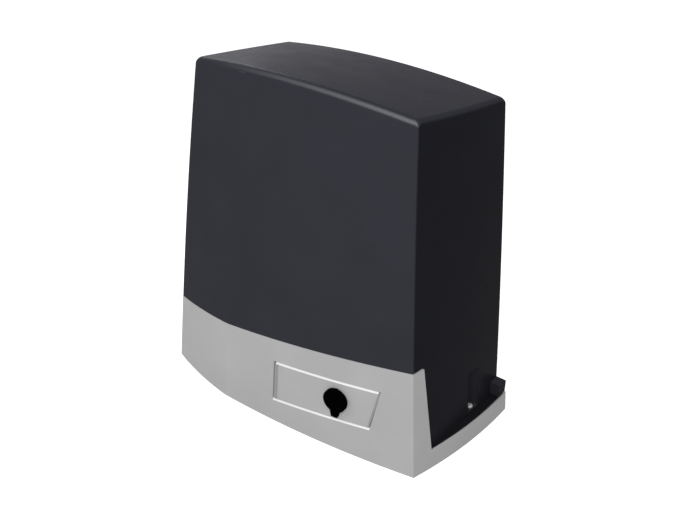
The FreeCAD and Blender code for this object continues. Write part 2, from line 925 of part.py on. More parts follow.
def build_lock():
    """Lock barrel with its nut and cam, and the round cap that hangs over the key slot."""
    radius = size("lock_radius")
    length = size("lock_length")
    proud = size("lock_proud")
    barrel = lock_piece("barrel_round", radius, proud, length)
    slot_long = size("key_slot_length")
    slot_sizes = (size("key_slot_width"), slot_long, size("key_slot_depth") + 0.4)
    slot = block("key_slot", slot_sizes, lock_point(proud + 0.1, -slot_long / 2))
    slot.Placement.Rotation = lock_turn_rotation()
    keep(cut("lock_barrel", barrel, slot), "lock_barrel")
    nut_start = -size("nut_start")
    nut = lock_piece("lock_nut_outer", radius + size("nut_wall"), nut_start, size("nut_thick"))
    bore = lock_piece("lock_nut_bore", radius + 0.1, nut_start + 1, size("nut_thick") + 2)
    keep(cut("lock_nut", nut, bore), "lock_nut")
    cam_start = proud - length
    thick = size("cam_thick")
    disc = lock_piece("cam_disc", radius, cam_start, thick)
    reach = size("lock_z") - catch_top() + size("cam_overlap")
    width = size("cam_width")
    arm = block("cam_arm", (reach, width, thick), lock_point(cam_start, width / 2))
    arm.Placement.Rotation = lock_turn_rotation()
    keep(fused("lock_cam", [disc, arm]), "lock_cam")
    build_lock_cap()


def build_lock_cap():
    """Round weather cap with a finger tab, on a rivet above the key slot."""
    body = new_body("lock_cap")
    face = new_sketch(body, "cap_face", "XY_Plane")
    draw_circle(face, 0, 0, size("cap_radius"))
    pad(body, face, size("cap_thick"))
    tab = new_sketch(body, "cap_tab", "XY_Plane")
    half = size("cap_tab_half")
    root_half = size("cap_tab_root")
    reach = size("cap_tab_reach") - half * 0.8
    draw_outline(tab, [(-half, reach), (-root_half, 0), (root_half, 0), (half, reach)], {3: half * 0.8})
    pad(body, tab, size("cap_thick"))
    hole = new_sketch(body, "cap_rivet_hole", "XY_Plane")
    draw_circle(hole, 0, -size("cap_pivot_rise"), size("rivet_radius") + 0.1)
    pocket(body, hole, size("cap_thick"), backwards=True)
    place(body, lock_point(size("cap_gap") + size("cap_thick")), lock_turn_rotation())
    keep(body, "lock_cap")
    front = size("cap_gap") + size("cap_thick")
    rise = size("cap_pivot_rise")
    head_thick = size("rivet_head_thick")
    head = lock_piece("cap_rivet_head", size("rivet_head"), front + head_thick + 0.1, head_thick, rise)
    shank = lock_piece("cap_rivet_shank", size("rivet_radius"), front + 0.2, size("rivet_length"), rise)
    keep(fused("cap_rivet", [head, shank]), "cap_rivet")


def build_casting():
    """Foot and gear chamber in one casting: deck, slot bosses, rear plate, neck and flange."""
    body = new_body("base_casting")
    inset = size("skirt_wall") + GAP
    plans = form_sections(body, "foot_plan", [as_size(0), DECK], inset, True)
    loft(body, "Additive", plans)
    hollow = new_sketch(body, "foot_hollow", "XY_Plane")
    reach = size("slot_half_x") - size("slot_length") / 2 - size("hollow_side")
    inner_y = size("slot_half_y") - size("slot_width") / 2 - size("flank_end")
    draw_box(hollow, -reach, reach, size("hollow_front") - REAR, REAR - size("hollow_rear"))
    pocket(body, hollow, DECK - size("deck_thick"), backwards=True)
    for name, sign in (("right", 1), ("left", -1)):
        flank = new_sketch(body, f"flank_hollow_{name}", "XY_Plane")
        near = reach + size("flank_rib")
        left, right = sorted((sign * near, sign * (near + size("flank_width"))), key=lambda edge: edge.value)
        draw_box(flank, left, right, -inner_y, inner_y)
        pocket(body, flank, DECK - size("deck_thick"), backwards=True)
    add_chamber(body)
    add_rear_plate(body)
    add_neck(body)
    add_lid_recess(body)
    cut_chamber(body)
    cut_deck_holes(body)
    keep(body, "base_casting")


def add_chamber(body):
    """Round chamber for the worm wheel."""
    outer = size("chamber_radius") + size("chamber_wall")
    chamber = new_sketch(body, "chamber", "XZ_Plane", size("chamber_front"))
    draw_circle(chamber, SHAFT_X, SHAFT_Z, outer)
    pad(body, chamber, size("chamber_front") + size("plate_front"), backwards=True)
    boss = new_sketch(body, "filler_boss", "XY_Plane", SHAFT_Z)
    draw_circle(boss, *filler_place(), size("filler_boss"))
    pad(body, boss, outer - 2)


def filler_place():
    """Where the oil filler stands, behind the wheel."""
    return SHAFT_X + size("filler_x"), size("chamber_back") + size("filler_y")


def add_rear_plate(body):
    """Rear plate behind the cover's notch, and the shaft boss."""
    half = size("plate_half")
    plate = new_sketch(body, "rear_plate", "XZ_Plane", -size("plate_front"))
    spring = size("notch_spring")
    points = [
        (SHAFT_X - half, DECK - 1),
        (SHAFT_X + half, DECK - 1),
        (SHAFT_X + half, spring),
        (SHAFT_X - half, spring),
    ]
    draw_outline(plate, points, {2: half})
    pad(body, plate, PLATE_BACK - size("plate_front"), backwards=True)
    boss = new_sketch(body, "shaft_boss", "XZ_Plane", -size("plate_front"))
    draw_circle(boss, SHAFT_X, SHAFT_Z, size("shaft_boss_radius"))
    pad(body, boss, size("shaft_boss_end") - size("plate_front"), backwards=True)


def add_neck(body):
    """Upright neck round the worm, with the flange that carries the motor."""
    neck = new_sketch(body, "worm_neck", "XY_Plane", size("worm_foot") - 8)
    draw_circle(neck, WORM_X, WHEEL_Y, size("worm_bore") + size("neck_wall"))
    pad(body, neck, size("motor_flange_low") - size("worm_foot") + 9)
    flange = new_sketch(body, "motor_flange", "XY_Plane", size("motor_flange_low"))
    draw_circle(flange, WORM_X, WHEEL_Y, size("motor_flange_radius"))
    pad(body, flange, size("motor_flange_thick"))


def add_lid_recess(body):
    """Sunk pan in the deck that lets the chamber's lid come off forwards."""
    half = size("chamber_radius") + size("chamber_wall") - 16
    front = -size("chamber_front")
    reach = size("lid_thick") + 14
    pan = new_sketch(body, "lid_pan", "XY_Plane", 1)
    draw_box(pan, SHAFT_X - half - 4, SHAFT_X + half + 4, front - reach - 4, front + 2)
    pad(body, pan, DECK - 1)
    recess = new_sketch(body, "lid_recess", "XY_Plane", 5.5)
    draw_box(recess, SHAFT_X - half, SHAFT_X + half, front - reach, front)
    pocket(body, recess, DECK, backwards=True)


def cut_chamber(body):
    """Bores for the wheel, the shaft, its bearing and seal, and for the worm."""
    wheel = new_sketch(body, "wheel_bore", "XZ_Plane", size("chamber_front"))
    draw_circle(wheel, SHAFT_X, SHAFT_Z, size("chamber_radius"))
    pocket(body, wheel, size("chamber_front") + size("chamber_back"))
    seat = new_sketch(body, "bearing_bore", "XZ_Plane", -size("chamber_back"))
    draw_circle(seat, SHAFT_X, SHAFT_Z, size("bearing_outer") + 0.02)
    pocket(body, seat, size("bearing_width") + 0.4)
    passage = new_sketch(body, "shaft_passage", "XZ_Plane", -size("chamber_back"))
    draw_circle(passage, SHAFT_X, SHAFT_Z, size("shaft_radius") + 1.5)
    pocket(body, passage, size("shaft_boss_end"))
    seal = new_sketch(body, "seal_bore", "XZ_Plane", -size("shaft_boss_end"))
    draw_circle(seal, SHAFT_X, SHAFT_Z, seal_radius())
    pocket(body, seal, 7, backwards=True)
    worm = new_sketch(body, "worm_bore_up", "XY_Plane", size("worm_foot"))
    draw_circle(worm, WORM_X, WHEEL_Y, size("worm_bore"))
    pocket(body, worm, backwards=True)
    window = new_sketch(body, "switch_window", "XZ_Plane", -size("plate_front") + 10)
    half = size("switch_half") + GAP
    low = size("switch_z") - size("switch_height") / 2 - GAP
    draw_box(window, SHAFT_X - half, SHAFT_X + half, low, low + size("switch_height") + 2 * GAP)
    pocket(body, window)
    frame = new_sketch(body, "frame_screw_taps", "XZ_Plane", -size("plate_front"))
    for x, z in frame_screw_places():
        draw_circle(frame, x, z, size("lid_screw_radius"))
    pocket(body, frame, 8)
    screws = new_sketch(body, "lid_screw_holes", "XZ_Plane", size("chamber_front"))
    for x, z in lid_screw_places():
        draw_circle(screws, x, z, size("lid_screw_radius"))
    pocket(body, screws, 14)
    ties = new_sketch(body, "tie_rod_holes", "XY_Plane", size("motor_flange_low"))
    for x, y in tie_places():
        draw_circle(ties, x, y, size("tie_radius"))
    pocket(body, ties, backwards=True)
    filler = new_sketch(body, "filler_hole", "XY_Plane", SHAFT_Z)
    draw_circle(filler, *filler_place(), size("filler_hole"))
    pocket(body, filler, size("chamber_radius") + 20, backwards=True)


def seal_radius():
    """Outer radius of the shaft seal."""
    return size("shaft_radius") + 5.5


def lid_screw_places():
    """Places of the lid screws, seen from the front."""
    places = []
    for index in range(6):
        angle = math.radians(60 * index + 30)
        circle = size("lid_screw_circle")
        places.append((SHAFT_X + circle * math.cos(angle), SHAFT_Z + circle * math.sin(angle)))
    return places


def tie_places():
    """Places of the four tie rods round the motor's axis."""
    places = []
    for index in range(4):
        angle = math.radians(90 * index + 45)
        circle = size("tie_circle")
        places.append((WORM_X + circle * math.cos(angle), WHEEL_Y + circle * math.sin(angle)))
    return places


def slot_places():
    """Middles of the four fixing slots."""
    return [
        (sign_x * size("slot_half_x"), sign_y * size("slot_half_y"))
        for sign_x in (-1, 1)
        for sign_y in (-1, 1)
    ]


def well_x(sign):
    """Middle of a cover screw's well, at the foot of the cover's side wall."""
    return sign * (half_width(DECK) - size("well_inset"))


def cut_deck_holes(body):
    """Fixing slots, levelling screw holes, cable hole and screw holes in the deck."""
    slots = new_sketch(body, "fixing_slots", "XY_Plane")
    radius = size("slot_width") / 2
    half = size("slot_length") / 2 - radius
    for x, y in slot_places():
        left, right = x - half, x + half
        low, high = y - radius, y + radius
        draw_outline(slots, [(left, low), (right, low), (right, high), (left, high)], {1: radius, 3: radius})
    pocket(body, slots, backwards=True)
    holes = new_sketch(body, "deck_holes", "XY_Plane")
    for x, y in level_places():
        draw_circle(holes, x, y, size("level_radius"))
    for sign in (-1, 1):
        draw_circle(holes, sign * size("tab_place"), TAB_Y, size("lid_screw_radius"))
        draw_circle(holes, well_x(sign), size("well_back"), size("lid_screw_radius") + 0.1)
    draw_circle(holes, -size("gland_x"), -size("gland_y"), gland_radius())
    draw_circle(holes, -size("toroid_x"), size("toroid_y"), 3)
    draw_circle(holes, *earth_place(), size("earth_radius"))
    pocket(body, holes, backwards=True)
    rear = new_sketch(body, "rear_screw_taps", "XZ_Plane", -REAR)
    for sign in (1, -1):
        draw_circle(rear, sign * size("tab_place"), DECK / 2, size("lid_screw_radius"))
    pocket(body, rear, 14, backwards=True)


def level_places():
    """Places of the four levelling screws, outside the slots."""
    front = CORNER_Y + size("level_front_inset")
    rear = REAR - size("level_rear_inset")
    return [(sign * size("level_place"), y) for sign in (-1, 1) for y in (front, rear)]


def earth_place():
    """Where the earth screw stands, beside the cable gland."""
    return size("earth_offset_x") - size("gland_x"), -size("gland_y") - size("earth_offset_y")


def gland_radius():
    """Radius of the threaded part of the cable gland."""
    return size("gland_bore") + 3.5


def screw(name, radius, length, head_radius, head_height, where, along="Z"):
    """A cheese-head screw whose head starts at a point and whose shank runs back from it."""
    profile = [
        (0, -length),
        (radius, -length),
        (radius, 0),
        (head_radius, 0),
        (head_radius, as_size(head_height) * 0.6),
        (head_radius * 0.8, head_height),
        (0, head_height),
    ]
    return turned(name, profile, where, along)


def build_fasteners():
    """Screws of the lid, skirt, cover and deck."""
    front = -(size("chamber_front") + size("gasket_thick") + size("lid_thick"))
    thread = size("lid_screw_radius")
    head = size("screw_head")
    lid = [
        screw(f"lid_screw_{index}", thread, 18, head, 3, (x, front, z), "-Y")
        for index, (x, z) in enumerate(lid_screw_places())
    ]
    group("lid_screws", lid)
    tabs = []
    for index, sign in enumerate((-1, 1)):
        where = (sign * size("tab_place"), TAB_Y, DECK + size("tab_thick"))
        tabs.append(screw(f"tab_screw_{index}", thread, 14, head, 2.6, where))
        where = (sign * size("tab_place"), REAR, DECK / 2)
        tabs.append(screw(f"rear_screw_{index}", thread, 12, head, 2.4, where, "Y"))
    group("skirt_screws", tabs)
    floor = DECK + GAP + size("well_wall")
    cover = [
        screw(f"cover_screw_{index}", thread, 14, head + 0.2, 2.8, (well_x(sign), size("well_back"), floor))
        for index, sign in enumerate((-1, 1))
    ]
    group("cover_screws", cover)
    levels = []
    for index, (x, y) in enumerate(level_places()):
        levels.append(cylinder(f"level_screw_{index}", size("level_radius"), DECK + 3, (x, y, 0.3)))
        levels.append(
            cut(
                f"level_nut_{index}",
                hexagon(f"level_hexagon_{index}", 10, 4, (x, y, DECK)),
                cylinder(f"level_hole_{index}", size("level_radius") + 0.05, 6, (x, y, DECK - 1)),
            )
        )
    group("levelling_screws", levels)


def build_lid():
    """Chamber lid with the front bearing seat and the bush for the release rod, and its gasket."""
    outer = size("chamber_radius") + size("chamber_wall")
    face = -(size("chamber_front") + size("gasket_thick"))
    inward = size("bearing_width") - size("lid_thick") + 1.5
    bore = size("bearing_outer") + 0.02
    rod_hole = size("rod_radius") + 1
    lid = size("lid_thick")
    body = new_body("gearcase_lid")
    profile = new_sketch(body, "lid_profile", "XZ_Plane")
    points = [
        (rod_hole, lid),
        (rod_hole, lid - 1.5),
        (bore, lid - 1.5),
        (bore, -inward),
        (bore + 5, -inward),
        (bore + 5, 0),
        (outer, 0),
        (outer, lid - 1),
        (outer - 1, lid),
    ]
    draw_outline(profile, points)
    spin = body.newObject("PartDesign::Revolution", "lid_turned")
    spin.Profile = profile
    spin.ReferenceAxis = (profile, ["V_Axis"])
    spin.Angle = 360
    rib = new_sketch(body, "lid_rib", "XY_Plane", lid)
    draw_box(rib, rod_hole + 8, outer - 9, -1.5, 1.5)
    rib_pad = pad(body, rib, 2)
    polar(body, rib_pad, "Z_Axis", as_size(6))
    holes = new_sketch(body, "lid_holes", "XY_Plane")
    for index in range(6):
        angle = math.radians(60 * index + 30)
        circle = size("lid_screw_circle")
        draw_circle(holes, circle * math.cos(angle), circle * math.sin(angle), size("lid_screw_radius") + 0.2)
    pocket(body, holes, backwards=True)
    place(body, (SHAFT_X, face, SHAFT_Z), ALONG["-Y"])
    keep(body, "gearcase_lid")
    front = -size("chamber_front")
    gasket = ring(
        "gasket_ring", size("chamber_radius"), outer, 0, size("gasket_thick"), (SHAFT_X, front, SHAFT_Z), "-Y"
    )
    radius = size("lid_screw_radius") + 0.2
    holes = [
        cylinder(f"gasket_hole_{index}", radius, 4, (x, front - 2, z), "Y")
        for index, (x, z) in enumerate(lid_screw_places())
    ]
    keep(cut("gearcase_gasket", gasket, fused("gasket_holes", holes)), "gearcase_gasket")


def build_release():
    """Release rod with its collar, the bush that guides it and the return spring."""
    front = size("chamber_front") + size("gasket_thick") + size("lid_thick")
    rod = size("rod_radius")
    reach = ROD_FRONT - front
    collar_back = reach - size("rod_collar_inset") - size("rod_collar_width")
    collar_front = reach - size("rod_collar_inset")
    profile = [
        (0, -1),
        (rod, -1),
        (rod, collar_back),
        (rod + 2.6, collar_back),
        (rod + 2.6, collar_front),
        (rod, collar_front),
        (rod, reach - 1.5),
        (rod - 1.5, reach),
        (0, reach),
    ]
    keep(turned("release_rod", profile, (SHAFT_X, -front, SHAFT_Z), "-Y"), "release_rod")
    bush = [
        (rod + 0.1, 0),
        (rod + 4.5, 0),
        (rod + 4.5, size("bush_length") - 2),
        (rod + 2.2, size("bush_length") - 2),
        (rod + 2.2, size("bush_length")),
        (rod + 0.1, size("bush_length")),
    ]
    keep(turned("release_bush", bush, (SHAFT_X, -front, SHAFT_Z), "-Y"), "release_bush")
    coil = document.addObject("Part::Helix", "spring_line")
    bind(coil, "Radius", rod + 2)
    wire = as_size(0.6)
    length = collar_back - size("bush_length") - 2 * wire - 2 * GAP
    bind(coil, "Height", length)
    bind(coil, "Pitch", length / 4)
    section = document.addObject("Part::RegularPolygon", "spring_section")
    section.Polygon = 8
    bind(section, "Circumradius", wire)
    place(section, (rod + 2, 0, 0), Rotation(Vector(1, 0, 0), 90))
    spring = document.addObject("Part::Sweep", "release_spring")
    spring.Sections = [section]
    spring.Spine = (coil, ["Edge1"])
    spring.Solid = True
    spring.Frenet = True
    place(spring, (SHAFT_X, -front - size("bush_length") - wire - GAP, SHAFT_Z), ALONG["-Y"])
    keep(spring, "release_spring")


def build_output():
    """Output shaft, worm wheel, bearings, seal, keys, pinion and its end bolt."""
    radius = size("shaft_radius")
    front = -(size("chamber_front") + size("gasket_thick") + size("lid_thick") - 3)
    end = size("pinion_front") + size("pinion_width") - 0.5
    length = end - front
    collar_low = size("wheel_middle") + size("wheel_width") / 2 - front
    collar_high = size("chamber_back") - GAP - front
    body = new_body("output_shaft")
    profile = new_sketch(body, "shaft_profile", "XZ_Plane")
    points = [
        (0, 0),
        (radius - 1, 0),
        (radius, 1),
        (radius, collar_low),
        (radius + 4, collar_low),
        (radius + 4, collar_high),
        (radius, collar_high),
        (radius, length - 1),
        (radius - 1, length),
        (size("bolt_radius"), length),
        (size("bolt_radius"), length - size("bolt_length") - 2),
        (0, length - size("bolt_length") - 2),
    ]
    draw_outline(profile, points)
    spin = body.newObject("PartDesign::Revolution", "shaft_turned")
    spin.Profile = profile
    spin.ReferenceAxis = (profile, ["V_Axis"])
    spin.Angle = 360
    key_half = size("key_width") / 2
    depth = size("key_depth")
    wheel_low = size("wheel_middle") - size("wheel_width") / 2 - front
    pinion_low = size("pinion_front") - front
    keyed = (("wheel", wheel_low, size("wheel_width")), ("pinion", pinion_low, size("pinion_width")))
    for name, low, width in keyed:
        keyway = new_sketch(body, f"{name}_keyway", "YZ_Plane", radius - depth)
        draw_box(keyway, -key_half, key_half, low + 2, low + width - 2)
        pocket(body, keyway, backwards=True)
        key = block(
            f"{name}_key",
            (2 * depth, size("key_width"), width - 4.2),
            (SHAFT_X + radius - depth, front + low + 2.1, SHAFT_Z + key_half),
            ALONG["Y"],
        )
        keep(key, f"{name}_key")
    place(body, (SHAFT_X, front, SHAFT_Z), ALONG["Y"])
    keep(body, "output_shaft")
    bearings = []
    outer = size("bearing_outer")
    wide = size("bearing_width")
    for name, low in (("front", front - 1.5), ("rear", size("chamber_back") + 0.2)):
        where = (SHAFT_X, low, SHAFT_Z)
        bearings.append(build_bearing(f"{name}_bearing", radius + 0.02, outer, wide, where, "Y"))
    group("output_bearings", bearings)
    seal = [
        (radius + 0.05, 0),
        (seal_radius() - 0.02, 0),
        (seal_radius() - 0.02, 6.5),
        (radius + 3, 6.5),
        (radius + 2.4, 3),
        (radius + 0.05, 3),
    ]
    keep(turned("shaft_seal", seal, (SHAFT_X, size("shaft_boss_end") - 6.7, SHAFT_Z), "Y"), "shaft_seal")
    build_wheel()
    build_pinion()
    face = size("pinion_front") + size("pinion_width")
    bolt = size("bolt_radius")
    thick = size("washer_thick")
    where = (SHAFT_X, face, SHAFT_Z)
    keep(ring("pinion_washer", bolt + 0.2, size("washer_radius"), 0, thick, where, "Y"), "pinion_washer")
    above = (SHAFT_X, face + thick, SHAFT_Z)
    head = hexagon("bolt_head", size("bolt_across"), size("bolt_head"), above, "Y")
    below = (SHAFT_X, face + thick - size("bolt_length"), SHAFT_Z)
    shank = cylinder("bolt_shank", bolt, size("bolt_length"), below, "Y")
    keep(fused("pinion_bolt", [head, shank]), "pinion_bolt")


def build_bearing(name, inner, outer, width, where, along):
    """A shielded ball bearing: both rings with the sunk shields between them."""
    step = (outer - inner) * 0.28
    profile = [
        (inner, 0),
        (inner + step, 0),
        (inner + step, 0.8),
        (outer - step, 0.8),
        (outer - step, 0),
        (outer, 0),
        (outer, width),
        (outer - step, width),
        (outer - step, width - 0.8),
        (inner + step, width - 0.8),
        (inner + step, width),
        (inner, width),
    ]
    return turned(name, profile, where, along)


def flank_slopes(teeth):
    """How fast a 20 degree involute tooth narrows above its pitch line and widens below it."""
    count = teeth.value
    pressure = math.radians(20)
    pitch = count / 2
    base = pitch * math.cos(pressure)
    tip = pitch + 1
    at_tip = math.acos(base / tip)
    half = math.pi / 2 / count + math.tan(pressure) - pressure
    half_tip = tip * (half - math.tan(at_tip) + at_tip)
    half_pitch = math.pi / 4
    return half_pitch - half_tip, (base * half - half_pitch) / (pitch - base)


def gear_tooth(sketch, root_radius, pitch_radius, tip_radius, teeth, play):
    """One tooth about the +Y line of a sketch, with each flank bent at the pitch line."""
    above, below = flank_slopes(teeth)
    half_pitch = pitch_radius * math.pi / teeth / 2 - play / 2
    half_root = half_pitch + (pitch_radius - root_radius) * below
    half_tip = half_pitch - (tip_radius - pitch_radius) * above
    sunk = root_radius - 0.6
    points = [
        (-half_root, sunk),
        (half_root, sunk),
        (half_root, root_radius),
        (half_pitch, pitch_radius),
        (half_tip, tip_radius),
        (-half_tip, tip_radius),
        (-half_pitch, pitch_radius),
        (-half_root, root_radius),
    ]
    draw_outline(sketch, points)


def build_wheel():
    """Bronze worm wheel: hub, web, and teeth that slant by the worm's lead angle."""
    module = size("wheel_module")
    teeth = size("wheel_teeth")
    pitch = module * teeth / 2
    width = size("wheel_width")
    root_radius = pitch - 1.2 * module
    half_slant = slope_angle(lead_slope() * width / pitch) / 2
    body = new_body("worm_wheel")
    disc = new_sketch(body, "wheel_disc", "XY_Plane")
    draw_circle(disc, 0, 0, root_radius)
    draw_circle(disc, 0, 0, size("shaft_radius"))
    pad(body, disc, width)
    ends = []
    for name, level, side in (("low", as_size(0), -1), ("high", width, 1)):
        end = new_sketch(body, f"wheel_tooth_{name}", "XY_Plane", level)
        turn = Rotation(Vector(0, 0, side), half_slant.value)
        end.AttachmentOffset = Placement(Vector(0, 0, level.value), turn)
        bind(end, "AttachmentOffset.Rotation.Angle", half_slant)
        gear_tooth(end, root_radius, pitch, pitch + 0.85 * module, teeth, size("tooth_play"))
        ends.append(end)
    lows, highs = ends
    tooth = loft(body, "Additive", [lows, highs])
    tooth.Ruled = True
    polar(body, tooth, "Z_Axis", teeth)
    for index, level in enumerate((as_size(0), width)):
        dish = new_sketch(body, f"wheel_dish_{index}", "XY_Plane", level)
        draw_circle(dish, 0, 0, root_radius - 5)
        draw_circle(dish, 0, 0, size("shaft_radius") + 6)
        pocket(body, dish, 4, backwards=(index == 0))
    keyway = new_sketch(body, "wheel_hub_keyway", "XY_Plane")
    key_half = size("key_width") / 2
    draw_box(keyway, 0, size("shaft_radius") + size("key_depth"), -key_half, key_half)
    pocket(body, keyway, backwards=True)
    place(body, (SHAFT_X, WHEEL_Y - width / 2, SHAFT_Z), ALONG["Y"])
    keep(body, "worm_wheel")


def lead_slope():
    """Rise of the worm's thread per millimetre along its pitch line."""
    return size("wheel_module") / (2 * size("worm_pitch_radius"))


def build_pinion():
    """Hardened pinion that meshes with the gate's rack."""
    module = size("pinion_module")
    teeth = size("pinion_teeth")
    pitch = module * teeth / 2
    root_radius = pitch - 1.25 * module
    body = new_body("pinion")
    disc = new_sketch(body, "pinion_disc", "XY_Plane")
    draw_circle(disc, 0, 0, root_radius)
    draw_circle(disc, 0, 0, size("shaft_radius"))
    pad(body, disc, size("pinion_width"))
    flank = new_sketch(body, "pinion_tooth", "XY_Plane")
    gear_tooth(flank, root_radius, pitch, pitch + module, teeth, as_size(0.2))
    tooth = pad(body, flank, size("pinion_width"))
    polar(body, tooth, "Z_Axis", teeth)
    keyway = new_sketch(body, "pinion_hub_keyway", "XY_Plane")
    key_half = size("key_width") / 2
    draw_box(keyway, 0, size("shaft_radius") + size("key_depth"), -key_half, key_half)
    pocket(body, keyway, backwards=True)
    place(body, (SHAFT_X, size("pinion_front"), SHAFT_Z), ALONG["Y"])
    keep(body, "pinion")


def build_rotor():
    """Worm shaft with its thread, the rotor pressed on it, and the three bearings it runs in."""
    thread_pitch = (size("wheel_module") * math.pi).value
    foot = size("worm_foot")
    top = MOTOR_HIGH - 4
    inner = size("small_bearing_inner")
    worm_root = size("worm_root_radius")
    low = SHAFT_Z - size("worm_length") / 2
    high = SHAFT_Z + size("worm_length") / 2
    profile = [
        (0, foot + 0.3),
        (inner, foot + 0.3),
        (inner, low - 4),
        (worm_root, low - 4),
        (worm_root, high + 4),
        (inner, high + 4),
        (inner, top),
        (0, top),
    ]
    shaft = turned("worm_core", profile, (WORM_X, WHEEL_Y, 0))
    document.recompute()
    radius = size("worm_pitch_radius").value
    module = size("wheel_module").value
    play = size("tooth_play").value
    slope = math.tan(math.radians(20))
    half_pitch = thread_pitch / 4 - play / 2
    tip = radius + 0.85 * module
    base = worm_root.value - 0.3
    half_tip = half_pitch - (tip - radius) * slope
    half_base = half_pitch + (radius - base) * slope
    turns = round(size("worm_length").value / thread_pitch)
    height = turns * thread_pitch
    start = SHAFT_Z.value - height / 2
    helix = Part.makeHelix(thread_pitch, height, radius)
    corners = [
        Vector(base, 0, -half_base),
        Vector(tip, 0, -half_tip),
        Vector(tip, 0, half_tip),
        Vector(base, 0, half_base),
    ]
    section = Part.Wire(Part.makePolygon(corners + corners[:1]))
    thread = Part.Wire(helix).makePipeShell([section], True, True)
    thread.Placement = Placement(Vector(WORM_X.value, WHEEL_Y.value, start), Rotation())
    worm = document.addObject("Part::Feature", "worm_shaft")
    worm.Shape = shaft.Shape.fuse(thread)
    keep(worm, "worm_shaft")
    rotor_low = STATOR_LOW + 4
    rotor_length = size("stator_length") - 8
    keep(
        ring("rotor_core", inner, size("rotor_radius"), 0, rotor_length, (WORM_X, WHEEL_Y, rotor_low)),
        "rotor_core",
    )
    width = size("small_bearing_width")
    outer = size("small_bearing_outer")
    levels = (foot, size("motor_flange_low") - 12, STATOR_HIGH + 5)
    bearings = [
        build_bearing(f"rotor_bearing_{index}", inner + 0.02, outer, width, (WORM_X, WHEEL_Y, level), "Z")
        for index, level in enumerate(levels)
    ]
    group("rotor_bearings", bearings)


def build_motor():
    """Motor on the flange: end shields, finned stator housing, laminations, windings, tie rods."""
    centre = (WORM_X, WHEEL_Y)
    outer = size("motor_radius")
    inner = size("small_bearing_inner")
    rotor_bore = size("rotor_radius") + size("air_gap")
    core_outer = outer - 3
    lower = size("lower_shield")
    shield_profile = [
        (size("small_bearing_inner") + 1.5, 0),
        (outer + 2, 0),
        (outer + 2, lower),
        (core_outer, lower),
        (core_outer, lower - 3),
        (inner + 1.5, lower - 3),
    ]
    build_shield("motor_lower_shield", shield_profile, MOTOR_LOW, lower)
    high = size("upper_shield")
    cup = size("small_bearing_outer")
    dome = [
        (0, high),
        (0, high - 3),
        (cup + 0.02, high - 3),
        (cup + 0.02, 5),
        (cup + 4, 5),
        (cup + 4, high - 8),
        (core_outer, high - 13),
        (core_outer, 0),
        (outer + 2, 0),
        (outer + 2, high - 10),
        (outer - 6, high - 3),
        (cup + 6, high),
    ]
    build_shield("motor_upper_shield", dome, STATOR_HIGH, 8)
    build_stator_housing(outer, core_outer)
    core_low = STATOR_LOW + 6
    core_length = size("stator_length") - 12
    keep(
        ring("stator_core", rotor_bore, core_outer, 0, core_length, (*centre, core_low)),
        "stator_core",
    )
    coil_inner = rotor_bore + 1
    coil_outer = core_outer - 2
    windings = []
    for index, level in enumerate((STATOR_LOW - 2, STATOR_HIGH - 6)):
        profile = [
            (coil_inner, 2),
            (coil_inner + 2, 0),
            (coil_outer - 2, 0),
            (coil_outer, 2),
            (coil_outer, 6),
            (coil_outer - 2, 8),
            (coil_inner + 2, 8),
            (coil_inner, 6),
        ]
        windings.append(turned(f"winding_{index}", profile, (*centre, level)))
    group("stator_windings", windings)
    rods = []
    for index, (x, y) in enumerate(tie_places()):
        head = cylinder(f"tie_head_{index}", size("tie_radius") + 2, 3.5, (x, y, STATOR_HIGH + 8))
        low = size("motor_flange_low") + 1
        shank = cylinder(f"tie_shank_{index}", size("tie_radius"), STATOR_HIGH + 8 - low, (x, y, low))
        rods.append(fused(f"tie_rod_{index}", [head, shank]))
    group("motor_tie_rods", rods)


def build_shield(label, profile, level, ear_height):
    """An end shield with four ears for the tie rods."""
    body = new_body(label)
    sketch = new_sketch(body, label + "_profile", "XZ_Plane")
    draw_outline(sketch, profile)
    spin = body.newObject("PartDesign::Revolution", label + "_turned")
    spin.Profile = sketch
    spin.ReferenceAxis = (sketch, ["V_Axis"])
    spin.Angle = 360
    ear = new_sketch(body, label + "_ear", "XY_Plane")
    reach = size("tie_circle") * math.sqrt(0.5)
    half = size("tie_radius") + 3
    near = (size("motor_radius") - 2) * math.sqrt(0.5)
    step = half * math.sqrt(0.5)
    corners = [
        (near + step, near - step),
        (reach + step, reach - step),
        (reach - step, reach + step),
        (near - step, near + step),
    ]
    draw_outline(ear, corners, {1: half})
    ear_pad = pad(body, ear, ear_height)
    polar(body, ear_pad, "Z_Axis", as_size(4))
    holes = new_sketch(body, label + "_holes", "XY_Plane")
    for x, y in tie_places():
        draw_circle(holes, x - WORM_X, y - WHEEL_Y, size("tie_radius") + 0.1)
    pocket(body, holes, ear_height, backwards=True)
    place(body, (WORM_X, WHEEL_Y, level))
    keep(body, label)


def build_stator_housing(outer, core_outer):
    """Stator housing with upright cooling fins."""
    body = new_body("motor_housing")
    tube = new_sketch(body, "housing_tube", "XY_Plane")
    draw_circle(tube, 0, 0, outer)
    draw_circle(tube, 0, 0, core_outer)
    pad(body, tube, size("stator_length"))
    fin = new_sketch(body, "housing_fin", "XY_Plane")
    fin_out = outer + size("motor_fin")
    draw_outline(fin, [(outer - 1, -1.2), (fin_out, -0.7), (fin_out, 0.7), (outer - 1, 1.2)])
    fin_pad = pad(body, fin, size("stator_length"))
    polar(body, fin_pad, "Z_Axis", size("motor_fins"))
    place(body, (WORM_X, WHEEL_Y, STATOR_LOW))
    keep(body, "motor_housing")


